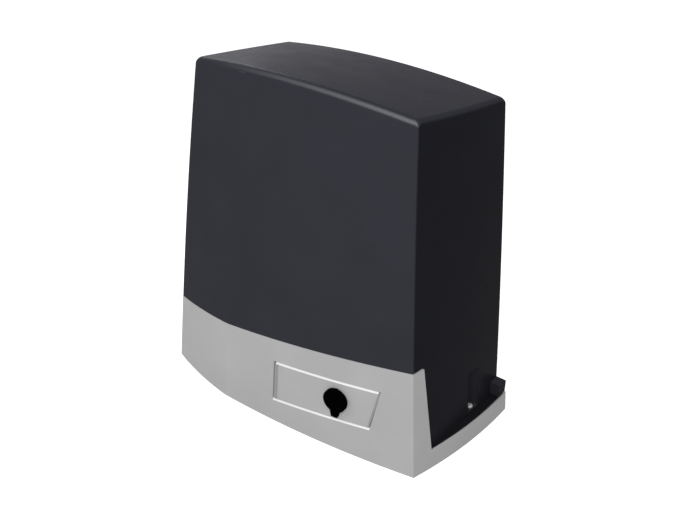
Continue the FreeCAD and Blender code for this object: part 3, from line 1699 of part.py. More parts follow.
def build_frame():
    """Folded steel back frame, screwed to the rear plate, and the plastic tray for the board."""
    body = new_body("back_frame")
    half = size("frame_half")
    low = MOTOR_LOW + 1
    panel = new_sketch(body, "frame_panel", "XZ_Plane", -FRAME_Y)
    draw_box(panel, -half, half, low, size("frame_top"))
    thick = size("frame_thick")
    pad(body, panel, thick - 0.1, backwards=True)
    for name, sign in (("right", 1), ("left", -1)):
        fold = new_sketch(body, f"frame_fold_{name}", "XY_Plane", low)
        edges = sorted((sign * half, sign * (half - thick)), key=lambda edge: edge.value)
        draw_box(fold, edges[0], edges[1], FRAME_Y - 8, FRAME_Y + thick - 0.1)
        pad(body, fold, size("frame_top") - low)
    gap = new_sketch(body, "frame_switch_gap", "XZ_Plane", -FRAME_Y + 10)
    side = size("switch_half") + 4
    draw_box(gap, SHAFT_X - side, SHAFT_X + side, low - 5, size("switch_z") + size("switch_height") / 2 + 4)
    pocket(body, gap)
    holes = new_sketch(body, "frame_holes", "XZ_Plane", -FRAME_Y + 10)
    for x, z in frame_screw_places():
        draw_circle(holes, x, z, size("lid_screw_radius") + 0.2)
    pocket(body, holes)
    lighten = new_sketch(body, "frame_windows", "XZ_Plane", -FRAME_Y + 10)
    draw_box(lighten, -30, 24, low + 12, size("tray_low") - 12)
    pocket(body, lighten)
    keep(body, "back_frame")
    screws = [
        screw(f"frame_screw_{index}", size("lid_screw_radius"), 8, 3.6, 2.6, (x, FRAME_Y, z), "-Y")
        for index, (x, z) in enumerate(frame_screw_places())
    ]
    group("frame_screws", screws)
    build_tray()


def frame_screw_places():
    """Screws that hold the frame to the rear plate and the tray to the frame."""
    beside = size("switch_half") + 12
    return [
        (SHAFT_X - beside, size("switch_z") + 8),
        (SHAFT_X + beside, size("switch_z") + 8),
    ]


def build_tray():
    """Open plastic tray, the control board on its pegs, and what is soldered to the board."""
    body = new_body("board_tray")
    half = size("tray_half")
    low = size("tray_low")
    high = size("tray_high")
    depth = size("tray_depth")
    wall = size("tray_wall")
    back = FRAME_Y - GAP
    outside = new_sketch(body, "tray_outside", "XZ_Plane", -back)
    draw_box(outside, -half, half, low, high)
    pad(body, outside, depth)
    inside = new_sketch(body, "tray_inside", "XZ_Plane", -(back - wall))
    draw_box(inside, -half + wall, half - wall, low + wall, high - wall)
    pocket(body, inside, backwards=True)
    pegs = new_sketch(body, "tray_pegs", "XZ_Plane", -(back - wall))
    for sign_x in (-1, 1):
        for level in (low + 10, high - 10):
            draw_circle(pegs, sign_x * (half - 10), level, 3)
    pad(body, pegs, size("board_standoff"))
    keep(body, "board_tray")
    board_back = back - wall - size("board_standoff")
    face = board_back - size("board_thick")
    board = block(
        "control_board",
        (2 * half - 2 * wall - 4, size("board_thick"), high - low - 2 * wall - 4),
        (-half + wall + 2, face, low + wall + 2),
    )
    keep(board, "control_board")
    build_terminals(face, low + wall)
    build_board_blocks(face, high - wall)
    build_board_controls(face)


def build_terminals(face, floor):
    """A row of terminal blocks along the board's lower edge."""
    width = size("terminal_width")
    high = size("terminal_height")
    wall = size("terminal_wall")
    low = floor + 3
    terminals = []
    for index in range(5):
        left = size("terminal_first") + size("terminal_pitch") * index
        lump = block(f"terminal_{index}", (width, high, high), (left, face - high, low))
        slot_sizes = (width - 2 * wall, 3, high - 5)
        slot = block(f"terminal_slot_{index}", slot_sizes, (left + wall, face - high - 1, low + wall))
        terminals.append(cut(f"terminal_block_{index}", lump, slot))
    group("terminal_blocks", terminals)


def build_board_blocks(face, ceiling):
    """Relays along the upper edge, the standing capacitors and the fuse in its clips."""
    high = size("relay_height")
    relays = []
    for index in range(3):
        left = size("relay_first") + size("relay_pitch") * index
        where = (left, face - high, ceiling - high - 5)
        relays.append(block(f"relay_{index}", (size("relay_width"), high, high), where))
    group("relays", relays)
    upper = size("parts_z")
    lower = size("fuse_z")
    cans = []
    for index, (x, z, radius) in enumerate(((0, upper, 6), (14, upper, 5), (2, lower, 4))):
        cans.append(cylinder(f"board_can_{index}", radius, size("can_length"), (x, face, z), "-Y"))
    group("board_capacitors", cans)
    radius = size("fuse_radius")
    tall = size("clip_height")
    width = size("clip_width")
    near = size("fuse_x")
    far = near + size("fuse_length")
    fuse = cylinder("fuse_tube", radius, size("fuse_length"), (near, face - radius - width / 2, lower), "X")
    clips = []
    for name, x in (("near", near), ("far", far)):
        where = (x - width / 2, face - tall + 1, lower - tall / 2)
        clips.append(block(f"fuse_clip_{name}", (width, tall - 1, tall), where))
    keep(fused("fuse_holder", [fuse, *clips]), "fuse_holder")


def build_board_controls(face):
    """The push button and the trimmer knob that an installer sets."""
    level = size("parts_z")
    middle = size("button_x")
    radius = size("button_radius")
    keep(cylinder("button_stem", radius, 6, (middle, face - 1.5, level), "-Y"), "program_button")
    side = size("button_case")
    depth = size("button_depth")
    corner = (middle - side / 2, face - depth, level - side / 2)
    frame = block("button_case_block", (side, depth, side), corner)
    well = cylinder("button_well", radius + 0.2, depth + 2, (middle, face + 1, level), "-Y")
    keep(cut("button_case", frame, well), "button_case")
    middle = size("trim_x")
    side = size("trim_case")
    depth = size("trim_depth")
    radius = size("trim_radius")
    knob = [(0, 0), (radius, 0), (radius, depth - 0.6), (radius - GAP, depth), (0, depth)]
    front = face - depth - GAP
    dial = turned("trim_round", knob, (middle, front, level), "-Y")
    slot = block("trim_slot", (6, 1.6, 1.2), (middle - 3, front - depth - 0.1, level - 0.6))
    keep(cut("trim_knob", dial, slot), "trim_knob")
    corner = (middle - side / 2, face - depth, level - side / 2)
    keep(block("trim_base", (side, depth, side), corner), "trim_base")


def build_power_parts():
    """Toroidal transformer on the deck and the run capacitor in its clip."""
    where = (-size("toroid_x"), size("toroid_y"), DECK + GAP)
    outer = size("toroid_outer")
    inner = size("toroid_inner")
    high = size("toroid_height")
    profile = [
        (inner + 4, 0),
        (outer - 7, 0),
        (outer - 2, 2),
        (outer, 8),
        (outer, high - 8),
        (outer - 2, high - 2),
        (outer - 7, high),
        (inner + 4, high),
        (inner, high - 5),
        (inner, 5),
    ]
    keep(turned("transformer", profile, where), "transformer")
    bolt = [
        (0, -DECK),
        (3, -DECK),
        (3, high),
        (outer * 0.7, high),
        (outer * 0.7, high + 1.5),
        (6, high + 1.5),
        (6, high + 6),
        (0, high + 6),
    ]
    keep(turned("transformer_bolt", bolt, where), "transformer_bolt")
    radius = size("capacitor_radius")
    cap_y = FRAME_Y - 2.5 - radius
    tall = size("capacitor_height")
    can = [
        (0, 0),
        (radius - 2, 0),
        (radius, 2),
        (radius, tall - 3),
        (radius - 1.5, tall),
        (6, tall),
        (5, tall + 5),
        (0, tall + 5),
    ]
    where = (-CAPACITOR_X, cap_y, size("capacitor_low"))
    keep(turned("run_capacitor", can, where), "run_capacitor")
    band_low = size("capacitor_low") + size("clip_rise")
    wide = size("clip_band")
    half = size("clip_half")
    sheet_thick = size("clip_sheet")
    where = (-CAPACITOR_X, cap_y, band_low)
    band = ring("capacitor_band", radius + 0.1, radius + 1.6, 0, wide, where)
    corner = (-CAPACITOR_X - half, FRAME_Y - sheet_thick, band_low)
    foot = block("capacitor_foot", (2 * half, sheet_thick, wide), corner)
    joined = fused("capacitor_clip_solid", [band, foot])
    room = cylinder("capacitor_room", radius + 0.1, wide + 2, (-CAPACITOR_X, cap_y, band_low - 1))
    keep(cut("capacitor_clip", joined, room), "capacitor_clip")


def build_limit_switch():
    """Limit switch in the rear plate's window: case, contacts and the sprung lever on its pin."""
    half = size("switch_half")
    tall = size("switch_height")
    middle = size("switch_z")
    front = size("plate_front") - 5
    back = PLATE_BACK - 0.5
    outer = block("switch_outer", (2 * half, back - front, tall), (SHAFT_X - half, front, middle - tall / 2))
    room = block(
        "switch_room",
        (2 * half - 5, back - front - 2.5 + 1, tall - 7),
        (SHAFT_X - half + 2.5, front + 2.5, middle - tall / 2 + 3.5),
    )
    pin = size("lever_pin")
    pivot_y = PLATE_BACK - size("pivot_inset")
    foot = middle - tall / 2
    hole = cylinder("switch_pin_hole", pin, tall - 4, (SHAFT_X, pivot_y, foot + 2))
    keep(cut("limit_switch_case", outer, fused("switch_hollows", [room, hole])), "limit_switch_case")
    wide = size("contact_width")
    contacts = []
    for name, left in (("left", SHAFT_X - wide - 3), ("right", SHAFT_X + 3)):
        sizes = (wide, size("contact_depth"), tall - 8)
        contacts.append(block(f"contact_{name}", sizes, (left, front + 2.5, foot + 4)))
    group("switch_contacts", contacts)
    keep(cylinder("lever_stud", pin, tall - 4, (SHAFT_X, pivot_y, foot + 2)), "lever_pin")
    hub = cylinder("lever_eye", size("lever_hub"), tall - 8, (SHAFT_X, pivot_y, foot + 4))
    bore = cylinder("lever_bore", pin + 0.1, tall, (SHAFT_X, pivot_y, foot))
    stem = turned("lever_stem", lever_profile(), (SHAFT_X, pivot_y, middle), "Y")
    keep(cut("limit_lever", fused("lever_solid", [hub, stem]), bore), "limit_lever")


def lever_profile():
    """Half profile of the sprung lever, whose coils show as rings."""
    thin = size("lever_radius")
    thick = thin + 1
    pitch = size("coil_pitch")
    reach = size("lever_reach")
    profile = [(0, 2), (thin, 2)]
    for turn in range(6):
        base = size("coil_first") + pitch * turn
        profile += [
            (thin, base),
            (thick, base + pitch * 0.25),
            (thick, base + pitch * 0.75),
            (thin, base + pitch * 0.95),
        ]
    return profile + [(thin, reach - 2), (thin - 1.2, reach), (0, reach)]


def build_small_fittings():
    """Cable gland in the deck, earth screw and the oil filler plug."""
    bore = size("gland_bore")
    thread = gland_radius()
    profile = [
        (bore, 8),
        (thread - 0.05, 8),
        (thread - 0.05, DECK),
        (thread + 3, DECK),
        (thread + 3, DECK + 5),
        (thread + 1, DECK + 5),
        (thread + 1, DECK + 12),
        (thread - 1, DECK + 15),
        (bore, DECK + 15),
    ]
    keep(turned("cable_gland", profile, (-size("gland_x"), -size("gland_y"), 0)), "cable_gland")
    keep(screw("earth_screw", size("earth_radius"), 10, 4.5, 3, (*earth_place(), DECK)), "earth_screw")
    top = SHAFT_Z + size("chamber_radius") + size("chamber_wall") - 2
    head = hexagon("plug_head", size("bolt_across"), 4, (*filler_place(), top))
    shank = cylinder("plug_shank", size("filler_hole"), 10, (*filler_place(), top - 10))
    keep(fused("oil_plug", [head, shank]), "oil_plug")


def cover_form(name, inset, foot):
    """The cover's outer or inner form, with its crowned top falling to the rear."""
    body = new_body(name)
    heights = [foot, size("section_mid"), size("section_top")]
    loft(body, "Additive", form_sections(body, name + "_plan", heights, inset, False))
    fall = size("top_fall")
    roof = new_sketch(body, name + "_roof", "XZ_Plane", 0, slope_angle(fall))
    high = size("shoulder_height")
    half = half_width(high) * 1.2
    drop = (high + fall * corner_y(high)) / root(1 + fall * fall) - inset
    side = drop - size("crown") * 0.44
    points = [(FAR, side), (half, side), (-half, side), (-FAR, side), (-FAR, 2 * FAR), (FAR, 2 * FAR)]
    draw_outline(roof, points, {1: size("crown") * 1.44})
    pocket(body, roof, both_ways=True)
    return body


def rounded(name, base):
    """The cover's form with its top edges and its four upright corners rounded off."""
    document.recompute()
    top = size("shoulder_height").value - 30
    rounds = []
    for index, edge in enumerate(base.Shape.Edges, start=1):
        box = edge.BoundBox
        if box.ZMin > top:
            rounds.append((index, size("top_edge_round").value))
        elif box.ZMax > top and box.ZMin < top - 100 and abs(box.Center.x) > half_width(FAR).value:
            rounds.append((index, size("corner_round").value))
    thing = document.addObject("Part::Fillet", name)
    thing.Base = base
    thing.Edges = [(index, radius, radius) for index, radius in rounds]
    return thing


def build_cover():
    """Cover: a crowned shell that stands on the deck and meets the skirt at the seam."""
    floor = DECK + GAP
    outer = cover_form("cover_outer", as_size(0), floor)
    core = cover_form("cover_core", size("cover_wall"), floor - 5)
    shell = cut("cover_shell", rounded("cover_rounded", outer), core)
    posts = []
    hollows = []
    radius = size("well_radius")
    tall = size("well_height") - floor
    wall = size("well_wall")
    for index, sign in enumerate((-1, 1)):
        where = (well_x(sign), size("well_back"), floor)
        above = (well_x(sign), size("well_back"), floor + wall)
        posts.append(cylinder(f"well_post_{index}", radius + wall, tall + wall, where))
        hollows.append(cylinder(f"well_hollow_{index}", radius, tall - wall, above))
        hollows.append(cylinder(f"well_hole_{index}", size("lid_screw_radius") + 0.3, 10, where))
    wells = shared("cover_wells", [fused("well_posts", posts), outer])
    walled = fused("cover_walled", [shell, wells, *cover_ears()])
    opened = cut("cover_opened", walled, fused("well_hollows", hollows))
    sill = block("rear_sill", (2 * FAR, 20, FLANGE + GAP), (-FAR, REAR - size("skirt_wall") - GAP, 0))
    keep(cut("cover", opened, fused("cover_cuts", [seam_cut(), rear_notch(), sill])), "cover")


def cover_ears():
    """Two low ears that stand on the flange at the rear corners."""
    thick = size("wing_thick")
    inner = half_width(FLANGE) - size("cover_wall") / 2
    length = size("wing_out") - inner
    level = FLANGE + GAP
    ears = []
    for name, left in (("right", inner), ("left", -size("wing_out"))):
        where = (left, REAR - thick, level)
        ears.append(block(f"cover_ear_{name}", (length, thick, size("wing_height") - level), where))
    return ears


def seam_cut():
    """What lies below the seam and ahead of the corner posts, which the skirt fills."""
    lift = size("seam_gap")
    below = new_body("below_seam")
    front = new_sketch(below, "below_seam_face", "XZ_Plane")
    draw_outline(front, [(-FAR, -10), (FAR, -10), *reversed(seam_line(lift))])
    pad(below, front, 2 * FAR, both_ways=True)
    ahead = new_body("ahead_of_post")
    side = new_sketch(ahead, "ahead_face", "YZ_Plane")
    low = as_size(-10)
    draw_outline(side, [(-FAR, low), (post_y(low) + lift, low), (post_y(FAR) + lift, FAR), (-FAR, FAR)])
    pad(ahead, side, 3 * FAR, both_ways=True)
    return shared("seam_side", [below, ahead])


def rear_notch():
    """Arched opening of the rear wall round the shaft boss and the limit switch."""
    notch = new_body("rear_notch")
    arch = new_sketch(notch, "notch_face", "XZ_Plane", -(REAR - 12))
    half = size("notch_half")
    spring = size("notch_spring")
    left = SHAFT_X - half
    right = SHAFT_X + half
    draw_outline(arch, [(left, 0), (right, 0), (right, spring), (left, spring)], {2: half})
    pad(notch, arch, 40, backwards=True)
    return notch


build_skirt()
build_hatch()
build_lock()
build_casting()
build_fasteners()
build_lid()
build_release()
build_output()
build_rotor()
build_motor()
build_frame()
build_power_parts()
build_limit_switch()
build_small_fittings()
build_cover()
document.recompute()

faults = []
for thing in document.Objects:
    if "Invalid" in thing.State or "Error" in thing.State:
        faults.append(f"{thing.Name}: {thing.State}")
for label, thing in sub_parts.items():
    if thing.Shape.isNull() or not thing.Shape.isValid() or not thing.Shape.Solids:
        faults.append(f"{label}: bad shape")
if faults:
    raise RuntimeError("; ".join(faults))

os.makedirs("parts", exist_ok=True)
for label, thing in sub_parts.items():
    thing.Shape.exportStep(f"parts/{label}.step")
print(len(sub_parts), "sub-parts written")
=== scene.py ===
# %% [markdown]
# This lesson dresses a sliding gate motor: a tall dark cover on a pale base, with a release
# hatch and a round lock cap in front and a toothed pinion behind. The shapes come from a
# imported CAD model, so the lesson is about finishes, light, the camera and small pieces.

import json
import math

import bpy
from mathutils import Matrix, Vector


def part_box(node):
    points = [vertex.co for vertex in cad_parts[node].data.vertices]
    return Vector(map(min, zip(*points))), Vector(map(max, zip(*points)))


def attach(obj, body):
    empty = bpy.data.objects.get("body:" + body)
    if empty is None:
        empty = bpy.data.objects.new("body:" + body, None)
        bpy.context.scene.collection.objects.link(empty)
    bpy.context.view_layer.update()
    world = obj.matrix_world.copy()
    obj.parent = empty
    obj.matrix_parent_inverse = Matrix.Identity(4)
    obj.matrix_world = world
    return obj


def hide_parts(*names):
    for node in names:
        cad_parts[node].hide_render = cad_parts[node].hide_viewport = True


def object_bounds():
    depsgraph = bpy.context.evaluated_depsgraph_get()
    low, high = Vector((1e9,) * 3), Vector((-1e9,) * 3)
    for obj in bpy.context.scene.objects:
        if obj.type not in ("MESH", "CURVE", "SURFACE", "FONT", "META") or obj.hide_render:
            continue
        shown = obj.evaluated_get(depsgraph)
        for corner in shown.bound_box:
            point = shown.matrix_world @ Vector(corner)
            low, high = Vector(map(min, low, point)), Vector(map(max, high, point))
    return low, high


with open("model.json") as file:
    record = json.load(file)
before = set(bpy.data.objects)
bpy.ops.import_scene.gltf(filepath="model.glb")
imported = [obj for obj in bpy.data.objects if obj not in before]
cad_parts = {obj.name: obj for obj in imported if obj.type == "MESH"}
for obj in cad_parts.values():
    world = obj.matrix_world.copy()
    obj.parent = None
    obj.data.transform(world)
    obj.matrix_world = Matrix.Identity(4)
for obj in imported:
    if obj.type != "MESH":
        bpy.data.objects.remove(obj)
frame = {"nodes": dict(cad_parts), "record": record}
cad_low, cad_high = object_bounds()
bpy.ops.object.select_all(action="DESELECT")
print("loaded", len(frame["nodes"]), "nodes, box", cad_low, cad_high)

# %% [markdown]
# A finish is a shader: colour, gloss and fine relief. On a real part none of them is even.
# Pictures could be wrapped round the part to show that, but noise needs no unwrapping and has
# no seams, so each is fed by noise measured in metres. Object coordinates are used because
# every node keeps its place in its mesh, which makes one unit of the pattern one metre.

# %% Start a finish
finishes = {}


class Finish:
    """A material with its shader, ready to take patterns."""

    def __init__(self, name, roughness, metallic=0.0):
        self.material = bpy.data.materials.new(name)
        self.material.use_nodes = True
        self.nodes = self.material.node_tree.nodes
        self.links = self.material.node_tree.links
        self.shader = self.nodes["Principled BSDF"]
        self.shader.inputs["Roughness"].default_value = roughness
        self.shader.inputs["Metallic"].default_value = metallic
        self.place = self.nodes.new("ShaderNodeTexCoord").outputs["Object"]
        finishes[name] = self

    def add(self, kind, numbers=None):
        """Add a node and set the numbers on its inputs."""
        node = self.nodes.new(kind)
        for socket, number in (numbers or {}).items():
            node.inputs[socket].default_value = number
        return node

    def join(self, start, end):
        """Draw a link from an output to an input."""
        self.links.new(start, end)

    def noise(self, size, detail=3.0, stretch=(1, 1, 1)):
        """Cloudy pattern whose blobs are about a size in metres."""
        mapping = self.add("ShaderNodeMapping", {"Scale": stretch})
        texture = self.add("ShaderNodeTexNoise", {"Scale": 1 / size, "Detail": detail})
        self.join(self.place, mapping.inputs["Vector"])
        self.join(mapping.outputs["Vector"], texture.inputs["Vector"])
        return texture.outputs["Fac"]

    def cells(self, size):
        """Pattern of small rounded pits about a size in metres."""
        texture = self.add("ShaderNodeTexVoronoi", {"Scale": 1 / size})
        self.join(self.place, texture.inputs["Vector"])
        return texture.outputs["Distance"]


print("finish maker ready")

# %% [markdown]
# A pattern is one number at every point of the surface. It is of use only once it has become
# a colour or lies in the right range, and nodes for arithmetic do that inside the shader. The
# same could be painted by hand, but then it couldn't be changed with one number.

# %% Work on a pattern


def ramp(finish, pattern, stops):
    """Turn a pattern into colours; stops are (position, colour) pairs."""
    node = finish.add("ShaderNodeValToRGB")
    marks = node.color_ramp.elements
    for mark, (position, colour) in zip(marks, (stops[0], stops[-1])):
        mark.position = position
        mark.color = (*colour, 1)
    for position, colour in stops[1:-1]:
        marks.new(position).color = (*colour, 1)
    finish.join(pattern, node.inputs["Fac"])
    return node.outputs["Color"]


def spread(finish, value, source, target):
    """Stretch a value from one range to another, and hold it at both ends."""
    numbers = dict(zip(("From Min", "From Max", "To Min", "To Max"), (*source, *target)))
    node = finish.add("ShaderNodeMapRange", numbers)
    finish.join(value, node.inputs["Value"])
    return node.outputs["Result"]


def calculate(finish, operation, first, second=None):
    """Work out one value from another, or from two."""
    node = finish.add("ShaderNodeMath")
    node.operation = operation
    finish.join(first, node.inputs[0])
    if isinstance(second, (int, float)):
        node.inputs[1].default_value = second
    elif second is not None:
        finish.join(second, node.inputs[1])
    return node.outputs[0]


def split(finish, vector):
    """The X, Y and Z of a vector."""
    node = finish.add("ShaderNodeSeparateXYZ")
    finish.join(vector, node.inputs["Vector"])
    return node.outputs


print("pattern helpers ready")

# %% [markdown]
# Three things vary on every finish: its colour drifts, its gloss is uneven, and a relief
# breaks up the light. Noise seldom comes near 0 or 1, so only its middle range is used. The
# relief is a bump and not geometry, since a grain of half a millimetre would take millions
# of faces.

# %% Uneven colour, gloss and relief
NOISE_RANGE = (0.3, 0.7)
FIRST_COLOUR, SECOND_COLOUR, MIXED_COLOUR = 6, 7, 2


def vary_colour(finish, colour, amount, size):
    """A colour that drifts a little lighter and darker over the surface."""
    low = [channel * (1 - amount) for channel in colour]
    high = [min(channel * (1 + amount), 1) for channel in colour]
    colours = ramp(finish, finish.noise(size, detail=4.0), list(zip(NOISE_RANGE, (low, high))))
    finish.join(colours, finish.shader.inputs["Base Color"])


def vary_gloss(finish, low, high, size, stretch=(1, 1, 1)):
    """A roughness that drifts between two values."""
    gloss = spread(finish, finish.noise(size, 3.0, stretch), NOISE_RANGE, (low, high))
    finish.join(gloss, finish.shader.inputs["Roughness"])


def relief(finish, pattern, depth, strength=0.3):
    """Fine relief from a pattern, with its depth in metres; several add up."""
    bump = finish.add("ShaderNodeBump", {"Strength": strength, "Distance": depth})
    finish.join(pattern, bump.inputs["Height"])
    before = finish.shader.inputs["Normal"]
    if before.links:
        finish.join(before.links[0].from_socket, bump.inputs["Normal"])
    finish.join(bump.outputs["Normal"], before)


def tint(finish, amount, colour):
    """Mix a finish's base colour with another one."""
    mix = finish.add("ShaderNodeMix")
    mix.data_type = "RGBA"
    base = finish.shader.inputs["Base Color"]
    finish.join(amount, mix.inputs["Factor"])
    finish.join(base.links[0].from_socket, mix.inputs[FIRST_COLOUR])
    mix.inputs[SECOND_COLOUR].default_value = (*colour, 1)
    finish.join(mix.outputs[MIXED_COLOUR], base)


print("colour, gloss and relief ready")

# %% [markdown]
# The cover, the skirt of the base and many small pieces are moulded plastic. Its grain is
# etched into the mould, and it breaks up reflections. One recipe serves them all: slow colour
# drift, uneven gloss, and two grains, one fine and one coarser. The sheen level is how much
# white light the surface throws back; dark grained plastic needs very little, or it turns grey.

# %% Moulded plastics


def moulded_plastic(
    name, colour, roughness, grain=0.0006, depth=0.00002, drift=0.05, sheen_level=0.4
):
    """Injection moulded plastic with an etched grain."""
    finish = Finish(name, roughness)
    finish.shader.inputs["Specular IOR Level"].default_value = sheen_level
    vary_colour(finish, colour, amount=drift, size=0.05)
    vary_gloss(finish, roughness - 0.04, roughness + 0.05, size=0.02)
    relief(finish, finish.noise(grain, detail=2.0), depth)
    relief(finish, finish.cells(grain * 3), depth * 0.8, strength=0.15)
    return finish


SKIRT_GRAIN = {"grain": 0.0012, "depth": 0.00006, "drift": 0.04, "sheen_level": 0.12}
SHADE_BAND_GRAIN = {"grain": 0.0012, "depth": 0.00004, "drift": 0.03, "sheen_level": 0.1}
LIP_GRAIN = {"grain": 0.0008, "depth": 0.00001, "sheen_level": 0.1}
moulded_plastic("skirt_plastic", (0.44, 0.44, 0.44), 0.5, **SKIRT_GRAIN)
# Painted shade: the grey band at the hinged end of the hatch.
moulded_plastic("band_painted_shade", (0.31, 0.31, 0.31), 0.6, **SHADE_BAND_GRAIN)
# The white lips below are a painted highlight, the grey lips painted shade in the end grooves.
moulded_plastic("lip_painted_highlight", (0.86, 0.86, 0.85), 0.6, drift=0.02, **LIP_GRAIN)
moulded_plastic("lip_painted_shade", (0.36, 0.36, 0.36), 0.6, drift=0.03, **LIP_GRAIN)
moulded_plastic("black_plastic", (0.001, 0.001, 0.001), 0.6, sheen_level=0.0)
moulded_plastic("tray_plastic", (0.02, 0.02, 0.022), 0.5)
moulded_plastic("nylon_grey", (0.12, 0.12, 0.13), 0.48)
moulded_plastic("terminal_green", (0.04, 0.3, 0.1), 0.42)
moulded_plastic("relay_blue", (0.02, 0.08, 0.38), 0.3)
moulded_plastic("button_plastic", (0.5, 0.03, 0.02), 0.35)
moulded_plastic("trim_blue", (0.03, 0.1, 0.45), 0.35)
moulded_plastic("capacitor_white", (0.72, 0.72, 0.69), 0.3)
moulded_plastic("can_sleeve", (0.02, 0.02, 0.04), 0.25)
moulded_plastic("gasket_rubber", (0.02, 0.02, 0.021), 0.65)
print("plastics made:", *finishes)

# %% [markdown]
# The cover is nearly black with a cold tint. Its flanks are painted darker than its front and
# top, as painted shade on the sides that face away from the lamps, and so is what looks forward
# in the screw wells and on the ears, as painted shade in those nooks. The rounded edge between
# front and top is painted lighter towards the right, as a painted highlight. Both come from the
# way a face looks and from its place, which needs no mask and stays with the cover when it moves.

# %% Cover plastic
SIDEWAYS = (0.75, 0.95)
FORWARDS = (-0.3, -0.6)
BEHIND_SEAM = (0.0, 0.006)
EDGE_UPWARDS = (0.3, 0.55)
EDGE_FORWARDS = (-0.45, -0.7)
EDGE_RIGHTWARDS = (-0.09, 0.13)
COLD_BLACK = (0.0345, 0.035, 0.0437)
HIGHLIGHT_GREY = (0.15, 0.155, 0.165)


def paint_flank_and_nook_shade(finish, flank_shade_cut, nook_shade_cut):
    """Paint shade on the flanks, and on what looks forward in the wells and on the ears."""
    facing = split(finish, finish.add("ShaderNodeNewGeometry").outputs["Normal"])
    place = split(finish, finish.place)
    sideways = calculate(finish, "ABSOLUTE", facing["X"])
    flank_shade = spread(finish, sideways, SIDEWAYS, (0, flank_shade_cut))
    forward = spread(finish, facing["Y"], FORWARDS, (0, nook_shade_cut))
    behind = spread(finish, place["Y"], BEHIND_SEAM, (0, 1))
    nook_shade = calculate(finish, "MULTIPLY", forward, behind)
    tint(finish, calculate(finish, "MAXIMUM", flank_shade, nook_shade), (0, 0, 0))


def paint_edge_highlight(finish, colour):
    """Paint a highlight on the rounded upper front edge, stronger towards the right corner."""
    facing = split(finish, finish.add("ShaderNodeNewGeometry").outputs["Normal"])
    place = split(finish, finish.place)
    upwards = spread(finish, facing["Z"], EDGE_UPWARDS, (0, 1))
    forward = spread(finish, facing["Y"], EDGE_FORWARDS, (0, 1))
    rightwards = spread(finish, place["X"], EDGE_RIGHTWARDS, (0, 1))
    edge_highlight = calculate(finish, "MULTIPLY", upwards, forward)
    tint(finish, calculate(finish, "MULTIPLY", edge_highlight, rightwards), colour)


cover_plastic = moulded_plastic("cover_plastic", COLD_BLACK, 0.3, sheen_level=0.004)
# Painted shade: darker flanks, and darker forward faces in the screw wells and on the ears.
paint_flank_and_nook_shade(cover_plastic, flank_shade_cut=0.56, nook_shade_cut=0.35)
# Painted highlight: the rounded front edge is lighter towards the right corner.
paint_edge_highlight(cover_plastic, HIGHLIGHT_GREY)
print("cover plastic made with", len(cover_plastic.nodes), "nodes")

# %% [markdown]
# The foot casting is aluminium with a dark satin paint over a sandy skin. The lid and the
# motor's shields are bare die casting. Both come out of a mould, so they share one recipe of
# a cloudy noise and rounded pits; paint is the same skin with no metal in its shader.

# %% Castings
SAND_SIZE = 0.0015
SAND_DEPTH = 0.00012


def casting(name, colour, roughness, metallic, sheen_level=0.5):
    """A cast surface: sandy relief under paint, or bare."""
    finish = Finish(name, roughness, metallic)
    finish.shader.inputs["Specular IOR Level"].default_value = sheen_level
    vary_colour(finish, colour, amount=0.12, size=0.03)
    vary_gloss(finish, roughness - 0.08, roughness + 0.1, size=0.01)
    relief(finish, finish.noise(SAND_SIZE, detail=5.0), SAND_DEPTH)
    relief(finish, finish.cells(SAND_SIZE * 1.7), SAND_DEPTH * 0.5, strength=0.2)


casting("cast_dark", (0.011, 0.0112, 0.013), 0.5, metallic=0.0, sheen_level=0.03)
casting("lid_metal", (0.58, 0.59, 0.6), 0.42, metallic=1.0)
casting("motor_metal", (0.5, 0.51, 0.52), 0.45, metallic=1.0)
print("castings made, now", len(finishes), "finishes")

# %% [markdown]
# Metal looks different by how it was made. Ground shafts show fine rings, zinc plate is
# cloudy with a warm tint, oiled steel is dark, and sheet has a drawn grain. Each mark could
# be modelled, but a noise stretched along the tool marks gives the same sparkle with no
# faces, so one recipe serves them all. Dull zinc on small screws is only partly metallic.

# %% Metals


def worked_metal(
    name, colour, roughness, stretch=(1, 1, 1), mark=0.001, depth=0.00001, metallic=1.0
):
    """Metal with tool marks stretched along one direction."""
    finish = Finish(name, roughness, metallic)
    vary_colour(finish, colour, amount=0.1, size=0.012)
    vary_gloss(finish, roughness - 0.07, roughness + 0.1, 0.006, stretch)
    relief(finish, finish.noise(mark, 3.0, stretch), depth, strength=0.25)


worked_metal("screw_zinc", (0.5, 0.5, 0.49), 0.5, metallic=0.35)
worked_metal("zinc_steel", (0.62, 0.61, 0.56), 0.34)
worked_metal("dark_steel", (0.16, 0.155, 0.15), 0.38, (1, 0.1, 1))
worked_metal("shaft_steel", (0.56, 0.56, 0.57), 0.24, (1, 4, 1))
worked_metal("bearing_steel", (0.68, 0.68, 0.69), 0.16)
worked_metal("bronze", (0.6, 0.38, 0.14), 0.3, (1, 5, 1))
worked_metal("lock_brass", (0.66, 0.5, 0.24), 0.28)
worked_metal("frame_steel", (0.62, 0.63, 0.62), 0.36, (0.1, 1, 1))
worked_metal("spring_steel", (0.5, 0.5, 0.5), 0.22, (1, 1, 3))
worked_metal("lamination", (0.26, 0.26, 0.28), 0.45, (1, 1, 60), mark=0.004, depth=0.00006)
worked_metal("copper", (0.56, 0.22, 0.09), 0.3, (1, 1, 8), mark=0.003, depth=0.0001)
print("metals made, now", len(finishes), "finishes")

# %% [markdown]
# Two finishes need a pattern of their own. The board has tracks under its green mask, for
# which a brick pattern turned to face forward is enough. The transformer is wound with tape,
# lap over lap: a pattern that runs round its middle is cut into equal laps, and each lap
# starts dark and rises towards the next, which leaves a small step between them. The fuse's
# glass is the plastics' recipe, nearly smooth.

